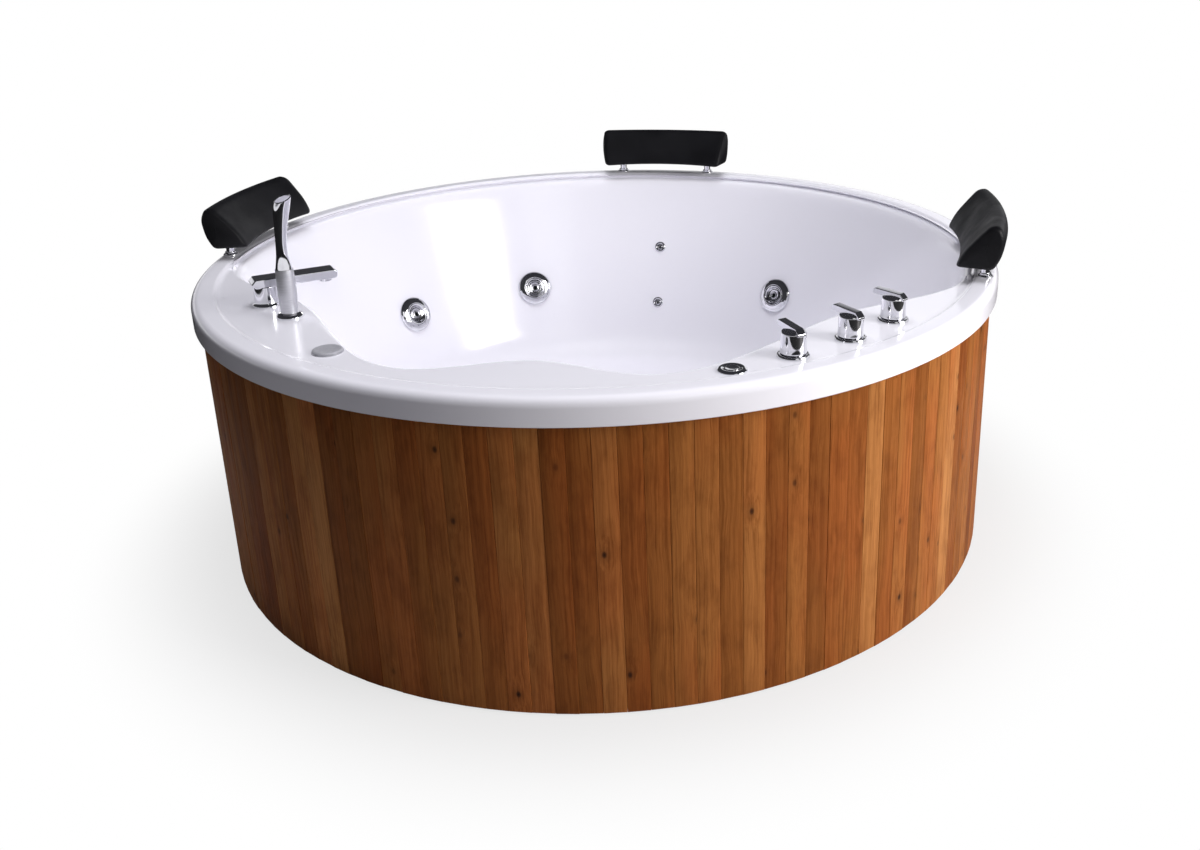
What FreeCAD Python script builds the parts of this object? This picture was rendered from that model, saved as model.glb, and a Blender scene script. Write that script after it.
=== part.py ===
import FreeCAD, Part
import Sketcher
import math
import os
import re

V = FreeCAD.Vector
doc = FreeCAD.newDocument("jetted_tub")

# Driving dimensions in millimetres and degrees. Angles go round the tub from +X, and the front is at 270.
# An inset is measured inwards from the rim, and a drop downwards from its top.
SIZES = {
    # moulded shell
    "rim_radius": 800,
    "rim_top": 560,
    "rim_round": 16,
    "lip_height": 46,
    "wall": 8,
    "bead_width": 48,
    "bead_round": 10,
    "bead_tail": 2,
    "deck_low_front": 2,
    "deck_low_back": 14,
    "mouth_inset": 65,
    "mouth_drop": 10,
    "mouth_round": 16,
    "wall_run": 175,
    "floor_height": 115,
    "floor_round": 100,
    "deck_reach": 134,
    "deck_centre": 52,
    "deck_rear_half": 26,
    "deck_front_half": 43,
    "lobe_reach": 124,
    "lobe_half": 20,
    "lobe_share": 0.35,
    # clearances
    "fit": 0.3,
    "hole_room": 0.4,
    "seat_room": 2,
    "notch_room": 2,
    # skirt and frame
    "stave_count": 128,
    "lip_overhang": 12,
    "stave_thick": 16,
    "stave_foot": 3,
    "stave_tuck": 16,
    "stave_gap": 0.6,
    "stave_edge": 1.2,
    "hoop_thick": 9.6,
    "hoop_high": 40,
    "arm_width": 30,
    "arm_wall": 3,
    "arm_low": 50,
    "arm_high": 85,
    "hub_radius": 150,
    "upright_thick": 6,
    "upright_drop": 60,
    "foot_inset": 110,
    "foot_radius": 25,
    "foot_thick": 12,
    "foot_stem": 6,
    "foot_edge": 2,
    "board_hole": 75,
    # jets
    "seat_axis": 87,
    "jet_height": 292,
    "jet_spread_near": 30,
    "jet_spread_far": 61,
    "jet_tube": 29,
    "jet_flange": 40,
    "jet_flange_thick": 2,
    "jet_depth": 46,
    "jet_floor": 6,
    "jet_bore": 24,
    "jet_nut": 42,
    "nut_thick": 10,
    "nut_wide": 5,
    "nut_edge": 2,
    "ring_radius": 43,
    "ring_height": 9,
    "ring_deep": 14,
    "ring_edge": 2,
    "ring_lip": 6,
    "ring_dish": 5,
    "eye_radius": 17,
    "eye_bore": 5,
    "eye_sink": 1,
    "small_jet_low": 243,
    "small_jet_high": 379,
    "small_jet_flange": 14,
    "small_jet_tube": 9,
    "small_jet_depth": 28,
    "small_jet_bore": 3,
    "small_jet_proud": 4,
    # pipes
    "main_depth": 74,
    "main_tube": 20,
    "riser_step": 2,
    "air_climb": 56,
    "air_tube": 7,
    "air_port_depth": 30,
    "air_port_half": 3,
    "feed_inset": 54,
    "feed_tube": 8,
    "feed_drop": 48,
    # suction and pump
    "suction_angle": 354,
    "suction_height": 240,
    "suction_flange": 36,
    "suction_flange_thick": 2,
    "suction_tube": 24,
    "suction_wall": 4,
    "suction_drop": 18,
    "grille_edge": 5,
    "grille_proud": 9,
    "slot_count": 10,
    "slot_start": 8,
    "slot_half": 2,
    "pump_angle": 340,
    "pump_arm": 330,
    "pump_inset": 150,
    "pump_height": 158,
    "pump_radius": 68,
    "pump_long": 82,
    "pump_collar": 12,
    "pump_shoulder": 8,
    "union_rise": 22,
    "outlet_reach": 47,
    "outlet_gap": 6,
    "motor_radius": 58,
    "motor_long": 143,
    "motor_bell": 14,
    "rib_count": 24,
    "rib_deep": 5,
    "rib_half": 1.5,
    "box_high": 26,
    "box_wide": 60,
    "box_long": 70,
    "box_sunk": 6,
    "gland_radius": 9,
    "gland_long": 14,
    "cover_radius": 60,
    "cover_long": 26,
    "cover_edge": 8,
    "saddle_wide": 76,
    "saddle_long": 40,
    # waste
    "waste_radius": 36,
    "waste_tube": 22,
    "waste_wall": 4,
    "waste_sunk": 3,
    "waste_crown": 1,
    "waste_slope": 3,
    "plug_radius": 23,
    "plug_sunk": 1.5,
    "plug_crown": 3.8,
    "cup_radius": 38,
    "outlet_pipe": 20,
    "outlet_run": 95,
    "outlet_level": 64,
    "outlet_foot": 5,
    "spigot_long": 38,
    # fixtures on the deck
    "flange_thick": 5,
    "flange_bevel": 2,
    "spindle": 6,
    "spout_inset": 128,
    "spout_angle": 214.5,
    "spout_reach": 128,
    "spout_wide": 38,
    "spout_shank": 12,
    "spout_deep": 70,
    "spout_foot": 26,
    "spout_base": 22,
    "spout_taper": 1,
    "spout_low": 38,
    "bar_thick": 17,
    "bar_sunk": 2,
    "bar_edge": 4,
    "aerator_radius": 12,
    "aerator_bore": 8,
    "aerator_long": 6,
    "aerator_cup": 3,
    "aerator_back": 20,
    "shower_inset": 144,
    "shower_angle": 222.7,
    "shower_shank": 14,
    "shower_deep": 60,
    "sleeve_foot": 24,
    "sleeve_waist": 14.5,
    "sleeve_belly": 16.5,
    "sleeve_mouth": 15.5,
    "sleeve_high": 88,
    "wand_spigot": 10.8,
    "wand_foot": 30,
    "dial_inset": 93,
    "dial_angle": 240.9,
    "dial_radius": 25,
    "dial_plate": 1.5,
    "dial_edge": 1,
    "dial_crown": 5.5,
    "dial_bevel": 3,
    "dial_dish": 1.5,
    "dial_shank": 11,
    "dial_deep": 50,
    "button_gap": 0.5,
    "button_angle": 295.7,
    "bezel_radius": 24,
    "bezel_edge": 2,
    "bezel_slope": 4,
    "bezel_crown": 5,
    "cap_radius": 13,
    "cap_lift": 4,
    "cap_crown": 4.5,
    "cap_edge": 1.5,
    "cap_dish": 1.5,
    "button_wall": 2.5,
    "button_deep": 28,
    "valve_inset": 82,
    "valve_angle": 304.7,
    "valve_step": 10.1,
    "valve_drift": 8,
    "valve_flange": 27,
    "valve_neck": 14,
    "valve_body": 18,
    "valve_deep": 75,
    "knob_radius": 22,
    "knob_high": 42,
    "knob_edge": 1,
    "knob_taper": 2,
    "lever_back": 24,
    "lever_reach": 37,
    "lever_wide": 15,
    "lever_thick": 7,
    "lever_sunk": 4,
    "lever_climb": 1,
    "lever_bevel": 3,
    "inlet_radius": 10.5,
    "inlet_long": 45,
    "inlet_collar": 14,
    "link_drop": 60,
    "inlet_drop": 130,
    # head pillows
    "pillow_half": 12,
    "pillow_lift": 22,
    "pillow_round": 6,
    "post_half": 8.4,
    "post_inset": 24,
    "post_radius": 8,
    "post_high": 52,
    "stop_wide": 3,
    "stop_thick": 4,
    "socket_radius": 11.6,
    "socket_deep": 28,
    "socket_lip": 3.5,
    "socket_edge": 1.5,
    "socket_proud": 2.5,
}
# Sections of the hand shower above its sleeve: lean, rise, half width, half depth and tilt
WAND = {
    "seat": (0, 0.3, 14.5, 14.5, 0),
    "neck": (0, 28, 10.5, 10, 0),
    "grip": (2, 60, 11, 10, 4),
    "bend": (7, 96, 14, 13, 6),
    "head": (13, 122, 18, 15, -20),
}
for label, values in WAND.items():
    for word, value in zip(("lean", "rise", "wide", "deep", "tilt"), values):
        SIZES["wand_%s_%s" % (label, word)] = value
# Section of a head pillow: distance out from its posts and height over its lowest point
PAD = {
    "toe": (-54, 2),
    "shin": (-40, 32),
    "brow": (-18, 58),
    "crest": (8, 86),
    "crown": (26, 84),
    "nape": (36, 64),
    "spine": (30, 24),
    "heel": (16, 0),
}
for label, (out, up) in PAD.items():
    SIZES["pad_%s_out" % label] = out
    SIZES["pad_%s_up" % label] = up
# Sizes that follow from the driving ones
DERIVED = {
    "bead_radius": "rim_radius - bead_width",
    "basin_radius": "rim_radius - mouth_inset",
    "mouth_height": "rim_top - mouth_drop",
    "floor_radius": "basin_radius - wall_run",
    "deck_slope": "(deck_low_back - deck_low_front) / (2 * bead_radius)",
    "deck_mid": "rim_top - (deck_low_back + deck_low_front) / 2",
    "deck_tilt": "atan(deck_slope) / 1 deg",
    "bead_foot": "deck_mid - (bead_radius + wall) * deck_slope - wall - bead_tail",
    "bead_flat": "rim_top - wall",
    "wall_fall": "wall_run / (mouth_height - floor_height)",
    "wall_lean": "atan(wall_fall) / 1 deg",
    "floor_low": "floor_height - wall",
    "jet_ring": "floor_radius + wall_fall * (jet_height - floor_height)",
    "main_ring": "jet_ring + main_depth * cos(wall_lean)",
    "main_height": "jet_height - main_depth * sin(wall_lean)",
    "air_ring": "jet_ring + air_port_depth * cos(wall_lean) + air_climb * sin(wall_lean)",
    "air_height": "jet_height - air_port_depth * sin(wall_lean) + air_climb * cos(wall_lean)",
    "low_ring": "floor_radius + wall_fall * (small_jet_low - floor_height)",
    "high_ring": "floor_radius + wall_fall * (small_jet_high - floor_height)",
    "low_depth": "(main_ring - low_ring) / cos(wall_lean)",
    "high_depth": "(main_ring - high_ring) / cos(wall_lean)",
    "riser_low": "small_jet_low - (main_ring - low_ring) * wall_fall",
    "riser_high": "small_jet_high - (main_ring - high_ring) * wall_fall",
    "pump_ring": "rim_radius - pump_inset",
    "suction_ring": "floor_radius + wall_fall * (suction_height - floor_height)",
    "drop_depth": "(pump_ring - suction_ring) / cos(wall_lean)",
    "drop_height": "suction_height - (pump_ring - suction_ring) * wall_fall",
    "cup_end": "-drop_depth - suction_drop",
    "union_height": "pump_height + union_rise",
    "outlet_ring": "sqrt(pump_ring ^ 2 + outlet_reach ^ 2)",
    "outlet_angle": "pump_angle - atan(outlet_reach / pump_ring) / 1 deg",
    "outlet_height": "main_height - main_tube - outlet_gap",
    "motor_start": "pump_long + fit",
    "motor_end": "motor_start + motor_long",
    "cover_start": "motor_end + fit",
    "cover_end": "cover_start + cover_long",
    "cradle_middle": "pump_ring * tan(pump_angle - pump_arm)",
    "stave_half": "180 / stave_count",
    "stave_face": "rim_radius - lip_overhang",
    "stave_back": "stave_face - stave_thick",
    "stave_top": "rim_top - lip_height + stave_tuck",
    "hoop_back": "stave_back - fit - hoop_thick",
    "upright_ring": "hoop_back - fit - upright_thick",
    "upright_top": "rim_top - upright_drop",
    "foot_ring": "rim_radius - foot_inset",
    "board_radius": "floor_radius - floor_round - lobe_share * deck_reach - wall",
    "feed_ring": "rim_radius - feed_inset",
    "feed_height": "rim_top - feed_drop",
    "valve_ring": "rim_radius - valve_inset",
    "valve_middle": "valve_angle + valve_step",
    "link_height": "rim_top - link_drop",
    "inlet_foot": "rim_top - inlet_drop",
    "spout_ring": "rim_radius - spout_inset",
    "shower_ring": "rim_radius - shower_inset",
    "dial_ring": "rim_radius - dial_inset",
    "dial_foot": "deck_mid - deck_slope * dial_ring * sin(dial_angle) - dial_deep",
    "button_shank": "cap_radius + button_wall",
    "button_ring": "bead_radius - button_shank - nut_wide - button_gap",
    "post_ring": "rim_radius - post_inset",
    "pillow_low": "rim_top + pillow_lift",
    "stop_low": "socket_proud + 2 * fit",
    "bar_low": "spout_low - bar_sunk",
    "bar_high": "bar_low + bar_thick",
    "lever_high": "knob_high + lever_climb + lever_thick",
}
WORDS = set(SIZES) | set(DERIVED)

sheet = doc.addObject("Spreadsheet::Sheet", "sizes")
for row, (word, entry) in enumerate(list(SIZES.items()) + list(DERIVED.items()), 1):
    sheet.set("A%d" % row, word)
    sheet.set("B%d" % row, "=" + entry if word in DERIVED else str(entry))
    sheet.setAlias("B%d" % row, word)
doc.recompute()


def size(word):
    """A cell of the sheet as a number."""
    return float(getattr(sheet, word))


def tied(formula):
    """A formula in the sheet's words, as an expression that follows the sheet."""
    def named(match):
        word = match.group()
        return "sizes." + word if word in WORDS else word
    return re.sub("[a-z_]+", named, str(formula))


def bind(thing, prop, formula):
    thing.setExpression(prop, tied(formula))


def place(thing, x, y, z, turn="rotation(0; 0; 0)"):
    bind(thing, "Placement", "placement(vector(%s; %s; %s); %s)" % (x, y, z, turn))
    return thing


def polar(thing, ring, angle, z, turn="rotation(0; 0; 0)"):
    """Set a piece at a distance from the tub's axis and an angle round it."""
    return place(thing, "%s * cos(%s)" % (ring, angle), "%s * sin(%s)" % (ring, angle), z, turn)


def on_deck(thing, ring, angle):
    """Stand a piece on the tilted deck, its X axis towards the tub's middle."""
    height = "deck_mid - deck_slope * %s * sin(%s)" % (ring, angle)
    spot = "vector(%s * cos(%s); %s * sin(%s); %s)" % (ring, angle, ring, angle, height)
    lean = "placement(%s; rotation(vector(1; 0; 0); -deck_tilt))" % spot
    facing = "placement(vector(0; 0; 0); rotation(vector(0; 0; 1); %s + 180))" % angle
    bind(thing, "Placement", lean + " * " + facing)
    return thing


def on_wall(thing, angle, height):
    """Set a piece into the sloping wall: its Z axis looks into the basin, its X axis up the wall."""
    ring = "(floor_radius + wall_fall * (%s - floor_height))" % height
    return polar(thing, ring, angle, height, "rotation(%s; wall_lean - 90; 0)" % angle)


def on_pump(thing):
    """Lay a piece along the pump's shaft, which runs level from the inlet; its -X axis is up."""
    return polar(thing, "pump_ring", "pump_angle", "pump_height", "rotation(pump_angle - 90; 90; 0)")


def new_body(name):
    made = doc.addObject("PartDesign::Body", name)
    made.Label = name
    return made


def outline(owner, name, plane, points):
    """A closed sketch whose corners, pairs of formulas, are tied to the sheet."""
    made = owner.newObject("Sketcher::SketchObject", name)
    base = [f for f in owner.Origin.OriginFeatures if f.Role == plane + "_Plane"][0]
    made.AttachmentSupport = (base, [""])
    made.MapMode = "FlatFace"
    count = len(points)
    spread = [2 * math.pi * i / count for i in range(count)]
    start = [V(math.cos(share) + 2, math.sin(share), 0) for share in spread]
    for i in range(count):
        made.addGeometry(Part.LineSegment(start[i], start[(i + 1) % count]), False)
    for i in range(count):
        made.addConstraint(Sketcher.Constraint("Coincident", i, 2, (i + 1) % count, 1))
    for i, (across, up) in enumerate(points):
        for kind, formula, first in (("DistanceX", across, start[i].x), ("DistanceY", up, start[i].y)):
            tie = made.addConstraint(Sketcher.Constraint(kind, -1, 1, i, 1, first))
            bind(made, "Constraints[%d]" % tie, formula)
    return made


def turned(name, points, sweep="360"):
    """A piece turned about its own Z axis from a half profile of radius and height."""
    made = new_body(name)
    profile = outline(made, name + "_profile", "XZ", points)
    turn = made.newObject("PartDesign::Revolution", name + "_turn")
    turn.Profile = profile
    turn.ReferenceAxis = (profile, ["V_Axis"])
    bind(turn, "Angle", sweep)
    return made


def padded(name, plane, points, length, symmetric=False):
    """A piece padded from an outline on one of its own planes."""
    made = new_body(name)
    pad = made.newObject("PartDesign::Pad", name + "_pad")
    pad.Profile = outline(made, name + "_outline", plane, points)
    bind(pad, "Length", length)
    if symmetric:
        pad.SideType = "Symmetric"
    return made


def repeated(owner, count, angle):
    """Repeat a body's pad round its own Z axis."""
    pad = owner.Tip
    made = owner.newObject("PartDesign::PolarPattern", owner.Name + "_round")
    made.Originals = [pad]
    made.Axis = (pad.Profile[0], ["N_Axis"])
    bind(made, "Angle", angle)
    bind(made, "Occurrences", count)
    owner.Tip = made
    return owner


def rounded(owner, radius, wanted):
    """Round the edges of a body that a test picks."""
    doc.recompute()
    base = owner.Tip
    picked = ["Edge%d" % i for i, edge in enumerate(base.Shape.Edges, 1) if wanted(edge)]
    made = owner.newObject("PartDesign::Fillet", "%s_round_%d" % (owner.Name, len(owner.Group)))
    made.Base = (base, picked)
    bind(made, "Radius", radius)
    return owner


def circle_at(ring, z):
    """A test for the edge that runs round the axis at a radius and height."""
    def wanted(edge):
        if edge.Curve.TypeId != "Part::GeomCircle":
            return False
        return math.isclose(edge.Curve.Radius, ring) and math.isclose(edge.CenterOfMass.z, z)
    return wanted


def rod(name, radius, length, x="0", y="0", z="0", turn="rotation(0; 0; 0)"):
    made = doc.addObject("Part::Cylinder", name)
    bind(made, "Radius", radius)
    bind(made, "Height", length)
    return place(made, x, y, z, turn)


def ball(name, radius):
    """A ball, which closes the corner where two pipes meet."""
    made = doc.addObject("Part::Sphere", name)
    bind(made, "Radius", radius)
    return made


def block(name, long, wide, high, x, y, z):
    """A box, placed by its low corner."""
    made = doc.addObject("Part::Box", name)
    bind(made, "Length", long)
    bind(made, "Width", wide)
    bind(made, "Height", high)
    return place(made, x, y, z)


def bent_pipe(name, ring, tube, z, start, sweep):
    """A round pipe bent to a ring about the tub's axis."""
    made = doc.addObject("Part::Torus", name)
    bind(made, "Radius1", ring)
    bind(made, "Radius2", tube)
    bind(made, "Angle3", sweep)
    return place(made, "0", "0", z, "rotation(%s; 0; 0)" % start)


def spoke(name, radius, inner, outer, angle, z):
    """A level round bar that runs straight out from the tub's axis."""
    made = doc.addObject("Part::Cylinder", name)
    bind(made, "Radius", radius)
    bind(made, "Height", "%s - %s" % (outer, inner))
    return polar(made, inner, angle, z, "rotation(%s; 90; 0)" % angle)


def made_of(kind, name, **links):
    made = doc.addObject(kind, name)
    made.Label = name
    for prop, pieces in links.items():
        setattr(made, prop, pieces)
    return made


def fused(name, pieces):
    return made_of("Part::MultiFuse", name, Shapes=pieces)


def cut(name, base, tool):
    return made_of("Part::Cut", name, Base=base, Tool=tool)


def group(name, pieces):
    return made_of("Part::Compound", name, Links=pieces)


JETS = {
    "far_left": "(seat_axis + jet_spread_far)",
    "near_left": "(seat_axis + jet_spread_near)",
    "near_right": "(seat_axis - jet_spread_near)",
    "far_right": "(seat_axis - jet_spread_far)",
}
SEATS = {
    "left": "(seat_axis + 90)",
    "back": "seat_axis",
    "right": "(seat_axis - 90)",
}
SMALL_JETS = ("low", "high")
VALVES = {
    "hot": ("valve_ring", "valve_angle"),
    "cold": ("(valve_ring - valve_drift)", "valve_middle"),
    "diverter": ("(valve_ring - 2 * valve_drift)", "(valve_middle + valve_step)"),
}
POSTS = {}
for seat, axis in SEATS.items():
    POSTS[seat + "_a"] = (seat, "(%s - post_half)" % axis)
    POSTS[seat + "_b"] = (seat, "(%s + post_half)" % axis)
nodes = []


def keep(*pieces):
    """List finished pieces, which are written as the part's nodes."""
    nodes.extend(pieces)


# Tub shell: one moulded acrylic sheet. A smooth control net carries the basin wall from the rolled
# mouth down to the floor, drawn inwards at the two decks and at the front lobe.
NET_COLUMNS = 48
FULL_TURN = 360.0
FRONT = 270.0


def from_front(angle):
    """An angle counted from the front, between minus and plus half a turn."""
    return (angle - FRONT + FULL_TURN / 2) % FULL_TURN - FULL_TURN / 2


def draw_in(angle):
    """How far the mouth is drawn in at an angle."""
    drawn = 0.0
    for side in (-1, 1):
        off = side * from_front(angle) - size("deck_centre")
        share = off / size("deck_rear_half" if off > 0 else "deck_front_half")
        if abs(share) < 1:
            drawn += size("deck_reach") * (1 - share ** 2) ** 2
    off = from_front(angle) / size("lobe_half")
    if abs(off) < 1:
        drawn += size("lobe_reach") * math.cos(math.pi / 2 * off) ** 2
    return drawn


def wall_at(angle, z):
    """The basin wall's distance from the axis."""
    rise = (z - size("floor_height")) / (size("mouth_height") - size("floor_height"))
    share = size("lobe_share") + (1 - size("lobe_share")) * rise
    return size("floor_radius") + size("wall_run") * rise - share * draw_in(angle)


def net_column(angle, depth):
    """One column of the control net, for the seen skin or for the hidden one a depth behind it."""
    north = math.sin(math.radians(angle))
    pull = (2 + math.cos(2 * math.pi / NET_COLUMNS)) / 3
    high, low = size("mouth_height"), size("floor_height")
    fall = (wall_at(angle, high) - wall_at(angle, low)) / (high - low)
    behind = depth * math.hypot(1, fall)
    floor = low - depth

    def deck_z(ring):
        return size("deck_mid") - depth - size("deck_slope") * ring * north

    def spot(ring, z):
        return V(ring / pull * math.cos(math.radians(angle)), ring / pull * north, z)

    def wall_spot(z):
        return spot(wall_at(angle, z) + behind, z)

    top = deck_z(wall_at(angle, high) + behind)
    edge = wall_at(angle, top) + behind + size("mouth_round") - depth
    foot = wall_at(angle, floor) + behind - size("floor_round")
    return [
        spot(edge, deck_z(edge / pull)),
        wall_spot(top),
        wall_spot(top - size("mouth_round")),
        wall_spot((top + floor + size("floor_round")) / 2),
        wall_spot(floor + size("floor_round")),
        wall_spot(floor),
        spot(foot, floor),
    ]


def wall_skin(depth):
    """The whole wall as one smooth closed surface, cubic both ways."""
    net = [net_column(FULL_TURN * i / NET_COLUMNS, depth) for i in range(NET_COLUMNS)]
    spans = len(net[0]) - 3
    skin = Part.BSplineSurface()
    skin.buildFromPolesMultsKnots(
        net, [1] * (NET_COLUMNS + 1), [4] + [1] * (spans - 1) + [4],
        list(range(NET_COLUMNS + 1)), list(range(spans + 1)), True, False, 3, 3)
    return skin.toShape()


def below_deck(depth):
    """What lies below the deck plane, out to the middle of the bead's inner leg."""
    far = 4 * size("rim_radius")
    above = Part.makeBox(far, far, far, V(-far / 2, -far / 2, 0))
    above.rotate(V(0, 0, 0), V(1, 0, 0), -size("deck_tilt"))
    above.translate(V(0, 0, size("deck_mid") - depth))
    return Part.makeCylinder(size("bead_radius") + size("wall") / 2, size("rim_top")).cut(above)


def basin_sheet():
    """Deck, wall and floor, closed between the seen skin and the hidden one."""
    slab = below_deck(0).cut(below_deck(size("wall")))
    faces = [f for f in slab.Faces if f.Surface.TypeId == "Part::GeomCylinder"]
    decks = sorted((f for f in slab.Faces if f.Surface.TypeId == "Part::GeomPlane"),
                   key=lambda f: -f.CenterOfMass.z)
    for depth, deck in zip((0, size("wall")), decks):
        skin = wall_skin(depth)
        ends = sorted((e for e in skin.Edges if e.isClosed()), key=lambda e: -e.CenterOfMass.z)
        mouth, foot = Part.Wire([ends[0]]), Part.Wire([ends[-1]])
        faces += [skin, Part.makeFace([deck.OuterWire, mouth], "Part::FaceMakerBullseye"), Part.Face(foot)]
    hull = Part.Shell(faces)
    hull.sewShape()
    sheet_solid = Part.Solid(hull)
    sheet_solid.fix(0.001, 0.001, 0.001)
    return sheet_solid


basin = doc.addObject("Part::Feature", "basin")
basin.Shape = basin_sheet()

# The bead and lip: a rolled channel round the outside, higher than the deck inside it
bead = turned("bead", [
    ("bead_radius", "bead_foot"),
    ("bead_radius", "rim_top"),
    ("rim_radius", "rim_top"),
    ("rim_radius", "rim_top - lip_height"),
    ("rim_radius - wall", "rim_top - lip_height"),
    ("rim_radius - wall", "bead_flat"),
    ("bead_radius + wall", "bead_flat"),
    ("bead_radius + wall", "bead_foot"),
])
rounded(bead, "rim_round", circle_at(size("rim_radius"), size("rim_top")))
rounded(bead, "bead_round", circle_at(size("bead_radius"), size("rim_top")))


def drill(name, hole, seat=None, sunk="0"):
    """A hole through the sheet, with a flat seat in front of it where a flange lies in a curved wall."""
    if seat is None:
        return turned(name, [("0", "-4 * wall"), (hole, "-4 * wall"), (hole, "2 * wall"), ("0", "2 * wall")])
    return turned(name, [
        ("0", "-4 * wall"), (hole, "-4 * wall"), (hole, "-%s" % sunk),
        (seat, "-%s" % sunk), (seat, "2 * wall"), ("0", "2 * wall")])


holes = []
for label, angle in JETS.items():
    hole = drill("jet_hole_" + label, "jet_tube + hole_room", "ring_radius + seat_room")
    holes.append(on_wall(hole, angle, "jet_height"))
for label in SMALL_JETS:
    hole = drill("small_jet_hole_" + label, "small_jet_tube + hole_room", "small_jet_flange + seat_room / 2")
    holes.append(on_wall(hole, "seat_axis", "small_jet_" + label))
suction_hole = drill("suction_hole", "suction_tube + hole_room", "suction_flange + seat_room / 2")
holes.append(on_wall(suction_hole, "suction_angle", "suction_height"))
waste_hole = drill("waste_hole", "waste_tube + hole_room", "waste_radius + hole_room", "waste_sunk")
holes.append(place(waste_hole, "0", "0", "floor_height"))
DECK_HOLES = {
    "spout": ("spout_shank", "spout_ring", "spout_angle"),
    "shower": ("shower_shank", "shower_ring", "shower_angle"),
    "dial": ("dial_shank", "dial_ring", "dial_angle"),
    "button": ("button_shank", "button_ring", "button_angle"),
}
for label, (ring, angle) in VALVES.items():
    DECK_HOLES[label] = ("valve_neck", ring, angle)
for label, (shank, ring, angle) in DECK_HOLES.items():
    holes.append(on_deck(drill(label + "_hole", shank + " + hole_room"), ring, angle))
for label, (seat, angle) in POSTS.items():
    hole = drill("post_hole_" + label, "socket_radius + hole_room")
    holes.append(polar(hole, "post_ring", angle, "rim_top"))
moulding = fused("moulding", [basin, bead])
tub_shell = cut("tub_shell", moulding, fused("shell_holes", holes))
for sheet_step in (moulding, tub_shell):
    sheet_step.Refine = False
keep(tub_shell)

# Skirt: upright wooden staves in four quarter panels, with eased outer edges
PANELS = {"right": 0, "back": 90, "left": 180, "front": 270}
HALF_FRONT = "(stave_face * tan(stave_half) - stave_gap / 2)"
HALF_BACK = "(stave_back * tan(stave_half) - stave_gap / 2)"
for side, middle in PANELS.items():
    staves = padded("staves_" + side, "XY", [
        ("stave_back", "-" + HALF_BACK),
        ("stave_face - stave_edge", "-" + HALF_FRONT),
        ("stave_face", "stave_edge - " + HALF_FRONT),
        ("stave_face", HALF_FRONT + " - stave_edge"),
        ("stave_face - stave_edge", HALF_FRONT),
        ("stave_back", HALF_BACK),
    ], "stave_top - stave_foot")
    repeated(staves, "stave_count / 4", "90 - 2 * stave_half")
    keep(place(staves, "0", "0", "stave_foot", "rotation(%d - 45 + stave_half; 0; 0)" % middle))


# Hoops: two plywood hoops that the staves are nailed to, and the taller rim board that carries the bead
def hoop(name, low, high):
    return turned(name, [
        ("hoop_back", low),
        ("hoop_back + hoop_thick", low),
        ("hoop_back + hoop_thick", high),
        ("hoop_back", high),
    ])


low_hoop = hoop("low_hoop", "hoop_high", "2 * hoop_high")
mid_hoop = hoop("mid_hoop", "stave_top / 2", "stave_top / 2 + hoop_high")
keep(group("skirt_hoops", [low_hoop, mid_hoop]))
notches = []
for label, (seat, angle) in POSTS.items():
    notch = rod("notch_" + label, "socket_radius + notch_room", "4 * wall")
    notches.append(polar(notch, "post_ring", angle, "bead_flat - 3 * wall"))
rim_hoop = hoop("rim_hoop", "upright_top - hoop_high", "bead_flat")
keep(cut("rim_board", rim_hoop, fused("notches", notches)))

# Frame: six channel arms welded to a hub ring, each with a flat upright for the hoops
ARM_COUNT = 6
ARM_ANGLES = [360 * (k + 0.5) / ARM_COUNT for k in range(ARM_COUNT)]
hub = turned("hub", [
    ("hub_radius - 4 * arm_wall", "arm_low"),
    ("hub_radius", "arm_low"),
    ("hub_radius", "arm_high"),
    ("hub_radius - 4 * arm_wall", "arm_high"),
])
frame_parts = [hub]
for k, angle in enumerate(ARM_ANGLES):
    arm = padded("arm_%d" % k, "YZ", [
        ("-arm_width / 2", "arm_low"),
        ("arm_wall - arm_width / 2", "arm_low"),
        ("arm_wall - arm_width / 2", "arm_high - arm_wall"),
        ("arm_width / 2 - arm_wall", "arm_high - arm_wall"),
        ("arm_width / 2 - arm_wall", "arm_low"),
        ("arm_width / 2", "arm_low"),
        ("arm_width / 2", "arm_high"),
        ("-arm_width / 2", "arm_high"),
    ], "upright_ring + upright_thick - hub_radius + arm_wall")
    polar(arm, "(hub_radius - arm_wall)", angle, "0", "rotation(%s; 0; 0)" % angle)
    upright = padded("upright_%d" % k, "XY", [
        ("upright_ring", "-arm_width / 2"),
        ("upright_ring + upright_thick", "-arm_width / 2"),
        ("upright_ring + upright_thick", "arm_width / 2"),
        ("upright_ring", "arm_width / 2"),
    ], "upright_top - arm_high")
    place(upright, "0", "0", "arm_high", "rotation(%s; 0; 0)" % angle)
    frame_parts += [arm, upright]
keep(fused("frame", frame_parts))

# Feet: turned pads on threaded stems, six under the arms and three under the hub
HUB_FEET = 3


def foot(name, top):
    return turned(name, [
        ("0", "0"),
        ("foot_radius - foot_edge", "0"),
        ("foot_radius", "foot_edge"),
        ("foot_radius", "foot_thick - 2 * foot_edge"),
        ("2 * foot_stem", "foot_thick"),
        ("foot_stem", "foot_thick"),
        ("foot_stem", top),
        ("0", top),
    ])


feet = []
for k, angle in enumerate(ARM_ANGLES):
    feet.append(polar(foot("arm_foot_%d" % k, "arm_high - arm_wall"), "foot_ring", angle, "0"))
for k in range(HUB_FEET):
    hub_foot = foot("hub_foot_%d" % k, "arm_low")
    feet.append(polar(hub_foot, "(hub_radius - 2 * arm_wall)", 360 * k / HUB_FEET, "0"))
keep(group("feet", feet))
keep(turned("base_board", [
    ("board_hole", "arm_high"),
    ("board_radius", "arm_high"),
    ("board_radius", "floor_low"),
    ("board_hole", "floor_low"),
]))

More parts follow.
